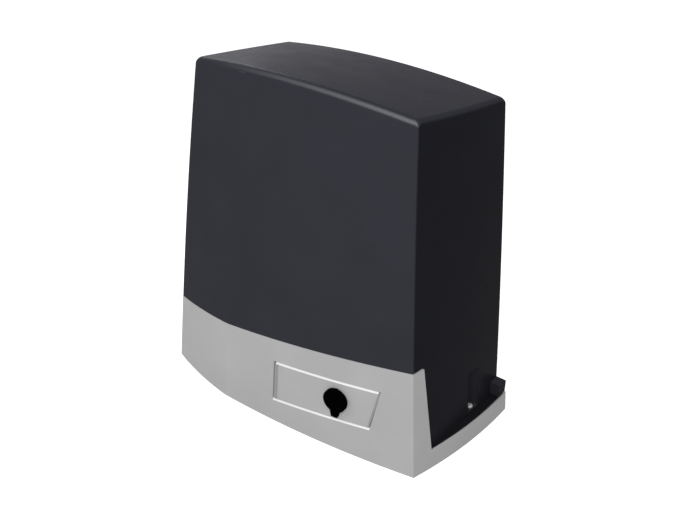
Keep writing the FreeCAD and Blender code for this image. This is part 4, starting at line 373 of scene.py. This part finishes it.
# %% Board, tape and fuse
TRACK_SCALE = 60
TRACK_GAP = 0.012
TRACK_RELIEF = 0.00003
TAPE_LAPS = 26
TAPE_THICK = 0.0003
TAPE_COLOURS = [(0.0, (0.42, 0.3, 0.03)), (0.12, (0.72, 0.55, 0.07)), (1.0, (0.64, 0.48, 0.05))]


def board_mask():
    """Green solder mask over a maze of tracks."""
    finish = Finish("board_green", 0.28)
    numbers = {
        "Color1": (0.012, 0.12, 0.045, 1),
        "Color2": (0.02, 0.17, 0.06, 1),
        "Mortar": (0.05, 0.28, 0.1, 1),
        "Scale": TRACK_SCALE,
        "Mortar Size": TRACK_GAP,
    }
    tracks = finish.add("ShaderNodeTexBrick", numbers)
    turn = finish.add("ShaderNodeMapping", {"Rotation": (math.radians(90), 0, 0)})
    finish.join(finish.place, turn.inputs["Vector"])
    finish.join(turn.outputs["Vector"], tracks.inputs["Vector"])
    finish.join(tracks.outputs["Color"], finish.shader.inputs["Base Color"])
    relief(finish, tracks.outputs["Fac"], TRACK_RELIEF)


def wound_tape():
    """Yellow tape wound round a ring, lap over lap."""
    finish = Finish("tape_yellow", 0.35)
    low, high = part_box("transformer")
    middle = (low + high) / 2
    centre = finish.add("ShaderNodeMapping", {"Location": (-middle.x, -middle.y, 0)})
    around = finish.add("ShaderNodeTexGradient")
    around.gradient_type = "RADIAL"
    finish.join(finish.place, centre.inputs["Vector"])
    finish.join(centre.outputs["Vector"], around.inputs["Vector"])
    laps = calculate(finish, "MULTIPLY", around.outputs["Fac"], TAPE_LAPS)
    lap = calculate(finish, "FRACT", laps)
    finish.join(ramp(finish, lap, TAPE_COLOURS), finish.shader.inputs["Base Color"])
    relief(finish, lap, TAPE_THICK, strength=0.5)


board_mask()
wound_tape()
moulded_plastic("fuse_glass", (0.66, 0.7, 0.68), 0.12, grain=0.002, depth=0.00001)
print("special finishes made, now", len(finishes), "finishes")

# %% [markdown]
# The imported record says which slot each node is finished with. Each node could be dressed by
# hand, but one loop can't forget any. A node keeps its mesh; only the material in its slot is
# changed.

# %% Dress the CAD nodes
subparts = frame["record"]["subparts"]
for row in subparts:
    for holder in frame["nodes"][row["node"]].material_slots:
        holder.material = finishes[row["material_slot"]].material
print("dressed", len(subparts), "nodes")

# %% [markdown]
# New pieces are shaped in edit mode. An operator acts on all that is selected, so the first
# helper leaves nothing selected but what it is given. The others put a piece's place into its
# mesh, turn its modifiers into mesh, and open it with just those faces selected that pass a
# test. By hand one would click the faces; a test on place and direction finds them each time.

# %% Helpers for modelling
FACING = 0.9
DOUBLES = 0.00001


def select_only(*pieces):
    """Leave edit mode and select nothing but some pieces, the first of them active."""
    if bpy.context.mode != "OBJECT":
        bpy.ops.object.mode_set(mode="OBJECT")
    bpy.ops.object.select_all(action="DESELECT")
    for piece in pieces:
        piece.select_set(True)
    if pieces:
        bpy.context.view_layer.objects.active = pieces[0]


def fix_place(piece):
    """Put a piece's place, turn and scale into its mesh."""
    select_only(piece)
    bpy.ops.object.transform_apply(location=True, rotation=True, scale=True)


def apply_modifiers(piece):
    """Turn a piece's modifiers into mesh."""
    select_only(piece)
    for modifier in list(piece.modifiers):
        bpy.ops.object.modifier_apply(modifier=modifier.name)


def pick(piece, wanted):
    """Open a piece in edit mode with only the faces selected that pass a test."""
    select_only(piece)
    bpy.ops.object.mode_set(mode="EDIT")
    bpy.ops.mesh.select_mode(type="FACE")
    bpy.ops.mesh.select_all(action="DESELECT")
    bpy.ops.object.mode_set(mode="OBJECT")
    for face in piece.data.polygons:
        face.select = wanted(face.center, face.normal)
    bpy.ops.object.mode_set(mode="EDIT")


print("modelling helpers ready")

# %% [markdown]
# A finished piece gets its name and its finish, and rides on a CAD body, so that it moves with
# it. Its object stays at the origin with its place in its mesh, as the CAD nodes have it, or
# a pattern in metres would slide when the piece is moved.

# %% Settle a finished piece
SMOOTH_ANGLE = math.radians(35)


def settle(piece, name, body, finish_name):
    """Name, dress and apply a piece, and let it ride on a body."""
    fix_place(piece)
    bpy.ops.object.shade_smooth_by_angle(angle=SMOOTH_ANGLE)
    piece.name = name
    piece.data.name = name
    piece.data.materials.clear()
    piece.data.materials.append(finishes[finish_name].material)
    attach(piece, body)
    print(name, "has", len(piece.data.polygons), "faces")


print("finished pieces are smoothed up to", round(math.degrees(SMOOTH_ANGLE)), "degrees")

# %% [markdown]
# A lip of soft plastic fills the groove round the hatch. Its white along the top of the hatch
# and along the sill is a painted highlight, where the upward faces of the groove catch the light,
# and its grey at the two ends is painted shade in the side grooves. The lip has to follow the
# bowed wall, and a bar bent by hand would hardly fit. So it starts as a copy of the narrow faces
# round the groove, which are extruded across most of the gap and slid inwards. That turns the
# front of the lip upwards.

# %% Sealing lips round the hatch
GROOVE = 0.0024
EDGE_RISE = 0.106
OPENING_TOP = 0.064
OPENING_SILL = 0.0223
OPENING_LEFT = -0.003
OPENING_RIGHT = 0.101
HATCH_RIGHT = 0.095
WALL_BACK = -0.05
LEVEL_SLACK = 0.0006
END_SLACK = 0.0005
LIP_REACH = 0.0016
LIP_SLIDE = 0.0012
LEFT_REACH = 0.0015
LEFT_SLIDE = 0.0005


def groove_lip(name, node, body, wanted, across, inwards, finish_name):
    """Raise a lip from some faces of a node, across the groove and then inwards."""
    lip = bpy.data.objects.new(name, frame["nodes"][node].data.copy())
    bpy.context.collection.objects.link(lip)
    pick(lip, lambda centre, normal: not wanted(centre, normal))
    bpy.ops.mesh.delete(type="FACE")
    bpy.ops.mesh.select_all(action="SELECT")
    bpy.ops.mesh.remove_doubles(threshold=DOUBLES)
    bpy.ops.mesh.extrude_region_move(TRANSFORM_OT_translate={"value": across})
    bpy.ops.transform.translate(value=(0, inwards, 0))
    bpy.ops.mesh.select_all(action="SELECT")
    bpy.ops.mesh.normals_make_consistent(inside=False)
    settle(lip, name, body, finish_name)


def on_hatch_top(centre, normal):
    """A face along the sloping top edge of the hatch."""
    level = OPENING_TOP - GROOVE + EDGE_RISE * centre.x
    return normal.z > FACING and abs(centre.z - level) < LEVEL_SLACK


def on_sill(centre, normal):
    """A face along the sloping sill of the opening in the front wall."""
    near_sill = abs(centre.z - OPENING_SILL - EDGE_RISE * centre.x) < LEVEL_SLACK
    in_opening = OPENING_LEFT < centre.x < OPENING_RIGHT and centre.y < WALL_BACK
    return normal.z > FACING and near_sill and in_opening


def on_left_end(centre, normal):
    """A face on the hinged end of the hatch."""
    return normal.x < -FACING and abs(centre.x) < END_SLACK


def on_right_end(centre, normal):
    """A face on the free end of the hatch."""
    return normal.x > FACING and centre.x > HATCH_RIGHT


rise = (0, 0, LIP_REACH)
rightwards = (LIP_REACH, 0, 0)
leftwards = (-LEFT_REACH, 0, 0)
# White lips: painted highlight on the hatch top and the sill; grey lips: painted shade.
groove_lip("hatch_top_lip", "release_hatch", "hatch", on_hatch_top, rise, LIP_SLIDE, "lip_painted_highlight")
groove_lip("hatch_sill_lip", "base_skirt", "base", on_sill, rise, LIP_SLIDE, "lip_painted_highlight")
groove_lip(
    "hatch_left_lip", "release_hatch", "hatch", on_left_end, leftwards, LEFT_SLIDE, "lip_painted_shade"
)
groove_lip(
    "hatch_right_lip", "release_hatch", "hatch", on_right_end, rightwards, LIP_SLIDE, "lip_painted_shade"
)

# %% [markdown]
# At its hinged end the hatch carries a dull grey band, nearly three millimetres wide; its grey
# is painted shade, where the groove at that end is rounded away from the light. A plain strip
# would not follow the hatch, so the band is cut from a copy of the hatch with bisect and moved
# out by a hair, which keeps it from sharing its face with the hatch.

# %% Band at the hinged end
SHADE_BAND_WIDTH = 0.0028
SHADE_BAND_PROUD = 0.00015
shade_band = bpy.data.objects.new("hatch_left_shade_band", frame["nodes"]["release_hatch"].data.copy())
bpy.context.collection.objects.link(shade_band)
pick(shade_band, lambda centre, normal: True)
bpy.ops.mesh.remove_doubles(threshold=DOUBLES)
bpy.ops.mesh.bisect(
    plane_co=(SHADE_BAND_WIDTH, 0, 0), plane_no=(1, 0, 0), use_fill=True, clear_outer=True
)
bpy.ops.mesh.select_all(action="SELECT")
bpy.ops.transform.translate(value=(0, -SHADE_BAND_PROUD, 0))
settle(shade_band, "hatch_left_shade_band", "hatch", "band_painted_shade")

# %% [markdown]
# The small pieces that follow are all blocks and rods that were joined, cut and rounded off.
# They could be drawn face by face, but a boolean and a bevel do it the way a toolmaker
# thinks, and a bevel that breaks every sharp edge is what makes a piece look moulded.

# %% Helpers for small solids
ROUNDED_ABOVE = math.radians(40)


def block(size, place=(0, 0, 0)):
    """A block of a size at a place, with nothing else selected."""
    select_only()
    bpy.ops.mesh.primitive_cube_add(size=1, location=place)
    cube = bpy.context.object
    cube.scale = size
    fix_place(cube)
    return cube


def rod(radius, length, sides, turned=(0, 0, 0), place=(0, 0, 0)):
    """A rod at a place, along Z until it is turned."""
    select_only()
    bpy.ops.mesh.primitive_cylinder_add(
        vertices=sides, radius=radius, depth=length, rotation=turned, location=place
    )
    cylinder = bpy.context.object
    fix_place(cylinder)
    return cylinder


def join_solids(base, tool, operation="UNION"):
    """Join or cut a solid with another one, which is used up."""
    change = base.modifiers.new("join", "BOOLEAN")
    change.operation = operation
    change.object = tool
    change.solver = "EXACT"
    apply_modifiers(base)
    bpy.data.objects.remove(tool)


def soften(piece, width, segments=2):
    """Round off the sharp edges of a piece."""
    bevel = piece.modifiers.new("soft_edges", "BEVEL")
    bevel.width = width
    bevel.segments = segments
    bevel.limit_method = "ANGLE"
    bevel.angle_limit = ROUNDED_ABOVE
    apply_modifiers(piece)


print("small solid helpers ready")

# %% [markdown]
# The round cap over the lock is thin black plastic with a small square finger tab. A low
# rod gives the disc and a block the tab, a little wider at its root. Both are made facing
# forward at the origin, because that is easy to measure, and then turned square to the bowed
# wall, whose direction comes from the hinge of the cap.

# %% Lock cap
FORWARD_TURN = (math.radians(90), 0, 0)
CAP_RADIUS = 0.0116
CAP_THICK = 0.0032
CAP_GAP = 0.0006
CAP_ROUNDING = 0.0004
PIVOT_RISE = 0.0094
TAB_SIZE = (0.0062, CAP_THICK, 0.0078)
TAB_DROP = 0.0133
TAB_ROOT_WIDER = 1.55
joints = frame["record"]["behaviour"]["joints"]
cap_hinge = next(joint for joint in joints if joint["name"] == "cap_swing")
cap_pivot = Vector(cap_hinge["pos_m"])
cap_out = Vector(cap_hinge["axis"])
cap_turn = math.atan2(cap_out.x, -cap_out.y)


def stand_on_wall(piece, middle):
    """Turn a piece that was made facing forward square to the wall, and move it there."""
    piece.rotation_euler = (0, 0, cap_turn)
    piece.location = middle


cap_tab = block(TAB_SIZE, (0, 0, -TAB_DROP))
pick(cap_tab, lambda centre, normal: normal.z > FACING)
bpy.ops.transform.resize(value=(TAB_ROOT_WIDER, 1, 1))
bpy.ops.object.mode_set(mode="OBJECT")
cap = rod(CAP_RADIUS, CAP_THICK, 72, FORWARD_TURN)
join_solids(cap, cap_tab)
soften(cap, CAP_ROUNDING)
cap_middle = cap_pivot - Vector((0, 0, PIVOT_RISE)) + cap_out * (CAP_GAP + CAP_THICK / 2)
stand_on_wall(cap, cap_middle)
settle(cap, "lock_cap_shaped", "lock_cap", "black_plastic")
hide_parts("lock_cap")
print("cap turned by", round(math.degrees(cap_turn), 2), "degrees")

# %% [markdown]
# The cap hangs on a small black rivet with a domed head. Half a sphere would be more than it
# needs: on a head of one millimetre an inset, a small push and a bevel give the same look.

# %% Cap rivet
RIVET_RADIUS = 0.0024
RIVET_HEIGHT = 0.0012
RIVET_PROUD = 0.0004
RIVET_ROUNDING = 0.00025
DOME_INSET = 0.0007
DOME_RISE = 0.0002
rivet = rod(RIVET_RADIUS, RIVET_HEIGHT, 32, FORWARD_TURN)
pick(rivet, lambda centre, normal: normal.y < -FACING)
bpy.ops.mesh.inset(thickness=DOME_INSET)
bpy.ops.transform.translate(value=(0, -DOME_RISE, 0))
bpy.ops.object.mode_set(mode="OBJECT")
soften(rivet, RIVET_ROUNDING)
stand_on_wall(rivet, cap_pivot + cap_out * (CAP_GAP + CAP_THICK + RIVET_PROUD))
settle(rivet, "cap_rivet_head", "hatch", "black_plastic")
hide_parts("cap_rivet")

# %% [markdown]
# The screws that show have a pan head with a cross recess. The recess could be painted, but
# in a low light only a cut one has a dark side, so two tapered blades are cut across a
# softened rod. The head is made with its top at the origin, which is where a screwdriver
# meets it and where its place is measured.

# %% Screw head
HEAD_ROUNDING = 0.3
RECESS_TURNS = (20, 110)
BLADE_LONG, BLADE_WIDE, BLADE_DEEP = 1.15, 0.26, 0.9
BLADE_TIP = (0.5, 0.6, 1)


def cut_slot(head, radius, height, turned):
    """Cut one slot of a cross recess into the top of a head."""
    blade = block((radius * BLADE_LONG, radius * BLADE_WIDE, height * BLADE_DEEP))
    pick(blade, lambda centre, normal: normal.z < -FACING)
    bpy.ops.transform.resize(value=BLADE_TIP)
    bpy.ops.object.mode_set(mode="OBJECT")
    blade.rotation_euler = (0, 0, turned)
    fix_place(blade)
    join_solids(head, blade, "DIFFERENCE")


def make_head(radius, height):
    """A pan head with a cross recess, with its top at the origin."""
    head = rod(radius, height, 40, place=(0, 0, -height / 2))
    soften(head, height * HEAD_ROUNDING, 3)
    for degrees in RECESS_TURNS:
        cut_slot(head, radius, height, math.radians(degrees))
    return head


print("screw head maker ready")

# %% [markdown]
# A real thread is a helix. On a shank four millimetres thick, rings look the same and stay
# simple: a disc at the tip is extruded upwards in small steps, and grows and shrinks by turns.

# %% Screw shank
THREAD_PITCH = 0.0008
CORE_RADIUS = 0.0016
RING_OUT, RING_IN = 1.25, 0.8


def make_shank(length, height):
    """Extrude a ringed shank upwards from its tip to the underside of the head."""
    select_only()
    bpy.ops.mesh.primitive_circle_add(
        vertices=16, radius=CORE_RADIUS, fill_type="NGON", location=(0, 0, -height - length)
    )
    shank = bpy.context.object
    fix_place(shank)
    bpy.ops.object.mode_set(mode="EDIT")
    bpy.ops.mesh.select_all(action="SELECT")
    steps = round(length / THREAD_PITCH) * 2
    for step in range(steps):
        grow = RING_OUT if step % 2 == 0 else RING_IN
        bpy.ops.mesh.extrude_region_move(TRANSFORM_OT_translate={"value": (0, 0, length / steps)})
        bpy.ops.transform.resize(value=(grow, grow, 1))
    bpy.ops.mesh.select_all(action="SELECT")
    bpy.ops.mesh.normals_make_consistent(inside=False)
    bpy.ops.object.mode_set(mode="OBJECT")
    return shank


def merge_pieces(pieces):
    """Make one object of several."""
    select_only(*pieces)
    bpy.ops.object.join()
    return bpy.context.object


def make_screw(length, radius, height):
    """A screw on its tip, with the top of its head at the origin."""
    return merge_pieces([make_head(radius, height), make_shank(length, height)])


print("screw maker ready")

# %% [markdown]
# One CAD node holds all screws of a kind, so its screws are made once, copied, and joined
# again into a single piece that stands for the node. Each copy gets its own mesh and is
# turned so that its head looks up, forward or back. The places are those of the CAD screws.

# %% Place the screws
HEAD_TURN = {"up": 0, "forward": math.radians(90), "back": math.radians(-90)}
WELL_SCREW = {"length": 0.014, "radius": 0.003, "height": 0.0028}
SKIRT_SCREW = {"length": 0.012, "radius": 0.0036, "height": 0.0024}
LID_SCREW = {"length": 0.018, "radius": 0.0036, "height": 0.003}
FRAME_SCREW = {"length": 0.008, "radius": 0.0036, "height": 0.0026}
LID_FRONT = -0.019
LID_RING = ((0.01016, 0.035), (0.01016, 0.081), (0.05, 0.012))
LID_RING += ((0.05, 0.104), (0.08984, 0.035), (0.08984, 0.081))
WELLS = [((side * 0.14139, 0.034, 0.0236), "up") for side in (-1, 1)]
SKIRT_FRONT = [((side * 0.11, -0.054, 0.0236), "up") for side in (-1, 1)]
SKIRT_REAR = [((side * 0.11, 0.081, 0.009), "back") for side in (-1, 1)]
LID = [((x, LID_FRONT, z), "forward") for x, z in LID_RING]
FRAME_FEET = [((x, 0.0594, 0.126), "forward") for x in (0.025, 0.075)]


def copy_to(first, places):
    """Copy an object to several (place, direction) places, and make one of the copies."""
    copies = []
    for place, looks in places:
        copy = first.copy()
        copy.data = first.data.copy()
        bpy.context.collection.objects.link(copy)
        copy.rotation_euler = (HEAD_TURN[looks], 0, 0)
        copy.location = place
        fix_place(copy)
        copies.append(copy)
    bpy.data.objects.remove(first)
    return merge_pieces(copies)


def set_screws(name, node, body, sizes, places):
    """Set screws in place of a node."""
    piece = copy_to(make_screw(**sizes), places)
    settle(piece, name, body, "screw_zinc")
    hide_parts(node)


set_screws("cover_screws_crossed", "cover_screws", "cover", WELL_SCREW, WELLS)
set_screws("skirt_screws_crossed", "skirt_screws", "base", SKIRT_SCREW, SKIRT_FRONT + SKIRT_REAR)
set_screws("lid_screws_crossed", "lid_screws", "base", LID_SCREW, LID)
set_screws("frame_screws_crossed", "frame_screws", "base", FRAME_SCREW, FRAME_FEET)

# %% [markdown]
# With the cover lifted the control board shows. Two black chips are soldered on its front,
# each with two rows of seven legs. Every leg could be bent from a strip, but at this size a
# softened block reads the same, so chip and leg are each made once and copied.

# %% Chips on the board
BOARD_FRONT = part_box("control_board")[0].y
CHIP_SIZE = (0.018, 0.0028, 0.0065)
CHIP_ROUNDING = 0.0003
CHIP_LEVEL = 0.244
CHIPS_ACROSS = (0.048, -0.066)
CHIP_OUT = 0.0018
LEG_SIZE = (0.0007, 0.002, 0.0012)
LEG_PITCH = 0.00254
LEG_ROW = 0.0037
LEG_BACK = 0.0008
LEG_ROUNDING = 0.00015

chip_places = [Vector((x, BOARD_FRONT - CHIP_OUT, CHIP_LEVEL)) for x in CHIPS_ACROSS]
chip_body = block(CHIP_SIZE)
soften(chip_body, CHIP_ROUNDING)
chips = copy_to(chip_body, [(place, "up") for place in chip_places])
settle(chips, "board_chips", "base", "black_plastic")

leg_offsets = [
    Vector((column * LEG_PITCH, LEG_BACK, side * LEG_ROW))
    for column in range(-3, 4)
    for side in (-1, 1)
]
leg_places = [(place + offset, "up") for place in chip_places for offset in leg_offsets]
chip_leg = block(LEG_SIZE)
soften(chip_leg, LEG_ROUNDING, 1)
settle(copy_to(chip_leg, leg_places), "chip_legs", "base", "screw_zinc")

# %% [markdown]
# Five tan resistors stand in a column at the right of the board, each a small barrel with a
# lead at both ends that dips into the board. The barrel's ends are inset and pushed out a
# little, and the bevel rounds them. Lead and feet are joined before they are copied.

# %% Resistors on the board
RESISTOR_RADIUS = 0.0012
RESISTOR_LENGTH = 0.006
RESISTOR_END = 0.0003
RESISTOR_BULGE = 1.1
RESISTOR_ROUNDING = 0.0002
RESISTOR_LEVELS = (0.237, 0.241, 0.245, 0.249, 0.253)
RESISTOR_OUT = 0.0014
RESISTOR_ACROSS = 0.072
LEAD_RADIUS = 0.0003
LEAD_LENGTH = RESISTOR_LENGTH * 1.6
FOOT_SIZE = (0.0006, 0.0016, 0.0006)
FOOT_BACK = 0.0007
FOOT_ACROSS = RESISTOR_LENGTH * 0.8
ALONG_X = (0, math.radians(90), 0)

moulded_plastic("resistor_tan", (0.5, 0.36, 0.2), 0.4)
resistor_places = [
    ((RESISTOR_ACROSS, BOARD_FRONT - RESISTOR_OUT, level), "up") for level in RESISTOR_LEVELS
]
resistor = rod(RESISTOR_RADIUS, RESISTOR_LENGTH, 20, ALONG_X)
pick(resistor, lambda centre, normal: abs(normal.x) > FACING)
bpy.ops.mesh.inset(thickness=RESISTOR_END)
bpy.ops.transform.resize(value=(RESISTOR_BULGE, 1, 1))
bpy.ops.object.mode_set(mode="OBJECT")
soften(resistor, RESISTOR_ROUNDING)
settle(copy_to(resistor, resistor_places), "resistor_bodies", "base", "resistor_tan")

lead = rod(LEAD_RADIUS, LEAD_LENGTH, 10, ALONG_X)
feet = [block(FOOT_SIZE, (side * FOOT_ACROSS, FOOT_BACK, 0)) for side in (-1, 1)]
leads = copy_to(merge_pieces([lead, *feet]), resistor_places)
settle(leads, "resistor_leads", "base", "screw_zinc")

# %% [markdown]
# Each of the five terminal blocks clamps five wires, so it shows five slotted screw heads.
# One head is a low softened rod with a slot cut across it by a block, and its copies stand at
# the front of the blocks at the pitch of the poles.

# %% Terminal screws
TERMINAL_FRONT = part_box("terminal_blocks")[0].y
TERMINAL_LEVEL = 0.225
POLE_PITCH = 0.0056
FIRST_POLE = 0.0028
BLOCK_STARTS = (-0.08, -0.048, -0.016, 0.016, 0.048)
POLE_RADIUS = 0.0016
POLE_HEIGHT = 0.0012
POLE_ROUNDING = 0.0002
SLOT_SIZE = (0.0026, 0.001, 0.0005)

pole_head = rod(POLE_RADIUS, POLE_HEIGHT, 20, FORWARD_TURN)
soften(pole_head, POLE_ROUNDING)
join_solids(pole_head, block(SLOT_SIZE, (0, -POLE_HEIGHT / 2, 0)), "DIFFERENCE")
pole_places = [
    ((start + FIRST_POLE + pole * POLE_PITCH, TERMINAL_FRONT, TERMINAL_LEVEL), "up")
    for start in BLOCK_STARTS
    for pole in range(5)
]
settle(copy_to(pole_head, pole_places), "terminal_screws", "base", "screw_zinc")

# %% [markdown]
# The part stands on white with hardly a shadow. More light would bleach the part as well, so
# the floor and the sky are white to the camera alone, and to reflections and glass. The lamps
# can then stay at a plain level, and the floor still takes the part's soft shadow.

# %% White to the camera


def white_to_camera(tree, plain, white):
    """Mix a plain shader with a white one that the camera, reflections and glass see."""
    path = tree.nodes.new("ShaderNodeLightPath")
    mix = tree.nodes.new("ShaderNodeMixShader")
    seen = path.outputs["Is Camera Ray"]
    for kind in ("Is Glossy Ray", "Is Transmission Ray"):
        either = tree.nodes.new("ShaderNodeMath")
        either.operation = "MAXIMUM"
        tree.links.new(seen, either.inputs[0])
        tree.links.new(path.outputs[kind], either.inputs[1])
        seen = either.outputs[0]
    tree.links.new(seen, mix.inputs["Fac"])
    tree.links.new(plain, mix.inputs[1])
    tree.links.new(white, mix.inputs[2])
    return mix.outputs["Shader"]


print("white background helper ready")

# %% [markdown]
# A room has light from all sides, which fills the shadows. A dim even sky gives that with one
# number. It is kept low, so that the three lamps still shape the part.

# %% Sky
WHITE = (1, 1, 1, 1)
SKY_LIGHT = 0.28
world = bpy.data.worlds.new("studio")
bpy.context.scene.world = world
world.use_nodes = True
sky_tree = world.node_tree
dim_sky = sky_tree.nodes["Background"]
dim_sky.inputs["Color"].default_value = WHITE
dim_sky.inputs["Strength"].default_value = SKY_LIGHT
white_sky = sky_tree.nodes.new("ShaderNodeBackground")
white_sky.inputs["Color"].default_value = WHITE
white_sky.inputs["Strength"].default_value = 1.0
sky = white_to_camera(sky_tree, dim_sky.outputs["Background"], white_sky.outputs["Background"])
sky_tree.links.new(sky, sky_tree.nodes["World Output"].inputs["Surface"])
print("sky light", SKY_LIGHT)

# %% [markdown]
# The floor is a wide sheet of pale paper just under the part. To the camera it glows as well,
# so that it meets the sky without an edge. Its own grey still darkens where the part keeps
# the light off, and that is the shadow.

# %% Floor
FLOOR_SIZE = 12
FLOOR_DROP = 0.0002
PAPER_GREY = (0.5, 0.5, 0.5, 1)
PAPER_ROUGHNESS = 0.9
PAPER_GLOW = 0.85
select_only()
bpy.ops.mesh.primitive_plane_add(size=FLOOR_SIZE, location=(0, 0, -FLOOR_DROP))
floor = bpy.context.object
floor.name = "studio_floor"
floor_finish = bpy.data.materials.new("studio_floor")
floor_finish.use_nodes = True
floor_tree = floor_finish.node_tree
paper = floor_tree.nodes["Principled BSDF"]
paper.inputs["Base Color"].default_value = PAPER_GREY
paper.inputs["Roughness"].default_value = PAPER_ROUGHNESS
glow = floor_tree.nodes.new("ShaderNodeEmission")
glow.inputs["Strength"].default_value = PAPER_GLOW
both = floor_tree.nodes.new("ShaderNodeAddShader")
floor_tree.links.new(paper.outputs["BSDF"], both.inputs[0])
floor_tree.links.new(glow.outputs["Emission"], both.inputs[1])
lit = white_to_camera(floor_tree, paper.outputs["BSDF"], both.outputs["Shader"])
floor_tree.links.new(lit, floor_tree.nodes["Material Output"].inputs["Surface"])
floor.data.materials.append(floor_finish)
print("floor of", FLOOR_SIZE, "m made")

# %% [markdown]
# The front is bright and the right side a little darker, so one large lamp stands in front,
# above and somewhat to the right. A weak one at the left gives the lock cap its faint shadow.
# A third one behind the left side grazes the crowned top, which is lightest at its left end.
# Square lamps are used because their size sets how soft a shadow is.

# %% Lamps


def soft_lamp(name, place, target, size, watts):
    """A square lamp that looks at a point."""
    bpy.ops.object.light_add(type="AREA", location=place)
    lamp = bpy.context.object
    lamp.name = name
    lamp.data.size = size
    lamp.data.energy = watts
    lamp.rotation_mode = "QUATERNION"
    lamp.rotation_quaternion = (Vector(place) - Vector(target)).to_track_quat("Z", "Y")
    print(name, "gives", watts, "W")


PART_MIDDLE = (cad_low + cad_high) / 2
TOP_LEFT_END = (-0.1, 0.02, 0.3)
soft_lamp("front_lamp", (0.86, -1.38, 1.35), PART_MIDDLE, size=1.1, watts=29)
soft_lamp("left_lamp", (-1.11, -1.11, 1.35), PART_MIDDLE, size=0.45, watts=6.5)
soft_lamp("top_lamp", (-0.42, 0.2, 0.52), TOP_LEFT_END, size=0.25, watts=1.8)

# %% [markdown]
# The camera stands to the right of the front and looks down from nearly a metre away, turned
# a little about its own axis. It could be aimed with a constraint, but three measured angles
# give the same frame each time. A lens of about 50 mm gives the right convergence of the
# upright edges.

# %% Camera
PLACE = Vector((0.4824, -0.60045, 0.56185))
SHIFT_UP = 0.0004
AZIMUTH = math.radians(37.84)
ELEVATION = math.radians(28.68)
ROLL = math.radians(1.62)
LENS = 50.31
SENSOR_WIDTH = 36
NEAREST = 0.01

flat = math.cos(ELEVATION)
back = Vector((math.sin(AZIMUTH) * flat, -math.cos(AZIMUTH) * flat, math.sin(ELEVATION)))
level = Vector((math.cos(AZIMUTH), math.sin(AZIMUTH), 0))
upright = back.cross(level)
right = level * math.cos(ROLL) + upright * math.sin(ROLL)
up = upright * math.cos(ROLL) - level * math.sin(ROLL)
bpy.ops.object.camera_add()
camera = bpy.context.object
camera.data.lens = LENS
camera.data.sensor_width = SENSOR_WIDTH
camera.data.clip_start = NEAREST
turn = Matrix((right, up, back)).transposed().to_4x4()
camera.matrix_world = Matrix.Translation(PLACE + up * SHIFT_UP) @ turn
bpy.context.scene.camera = camera
bpy.context.scene.view_settings.view_transform = "Standard"
print("camera at", camera.location)
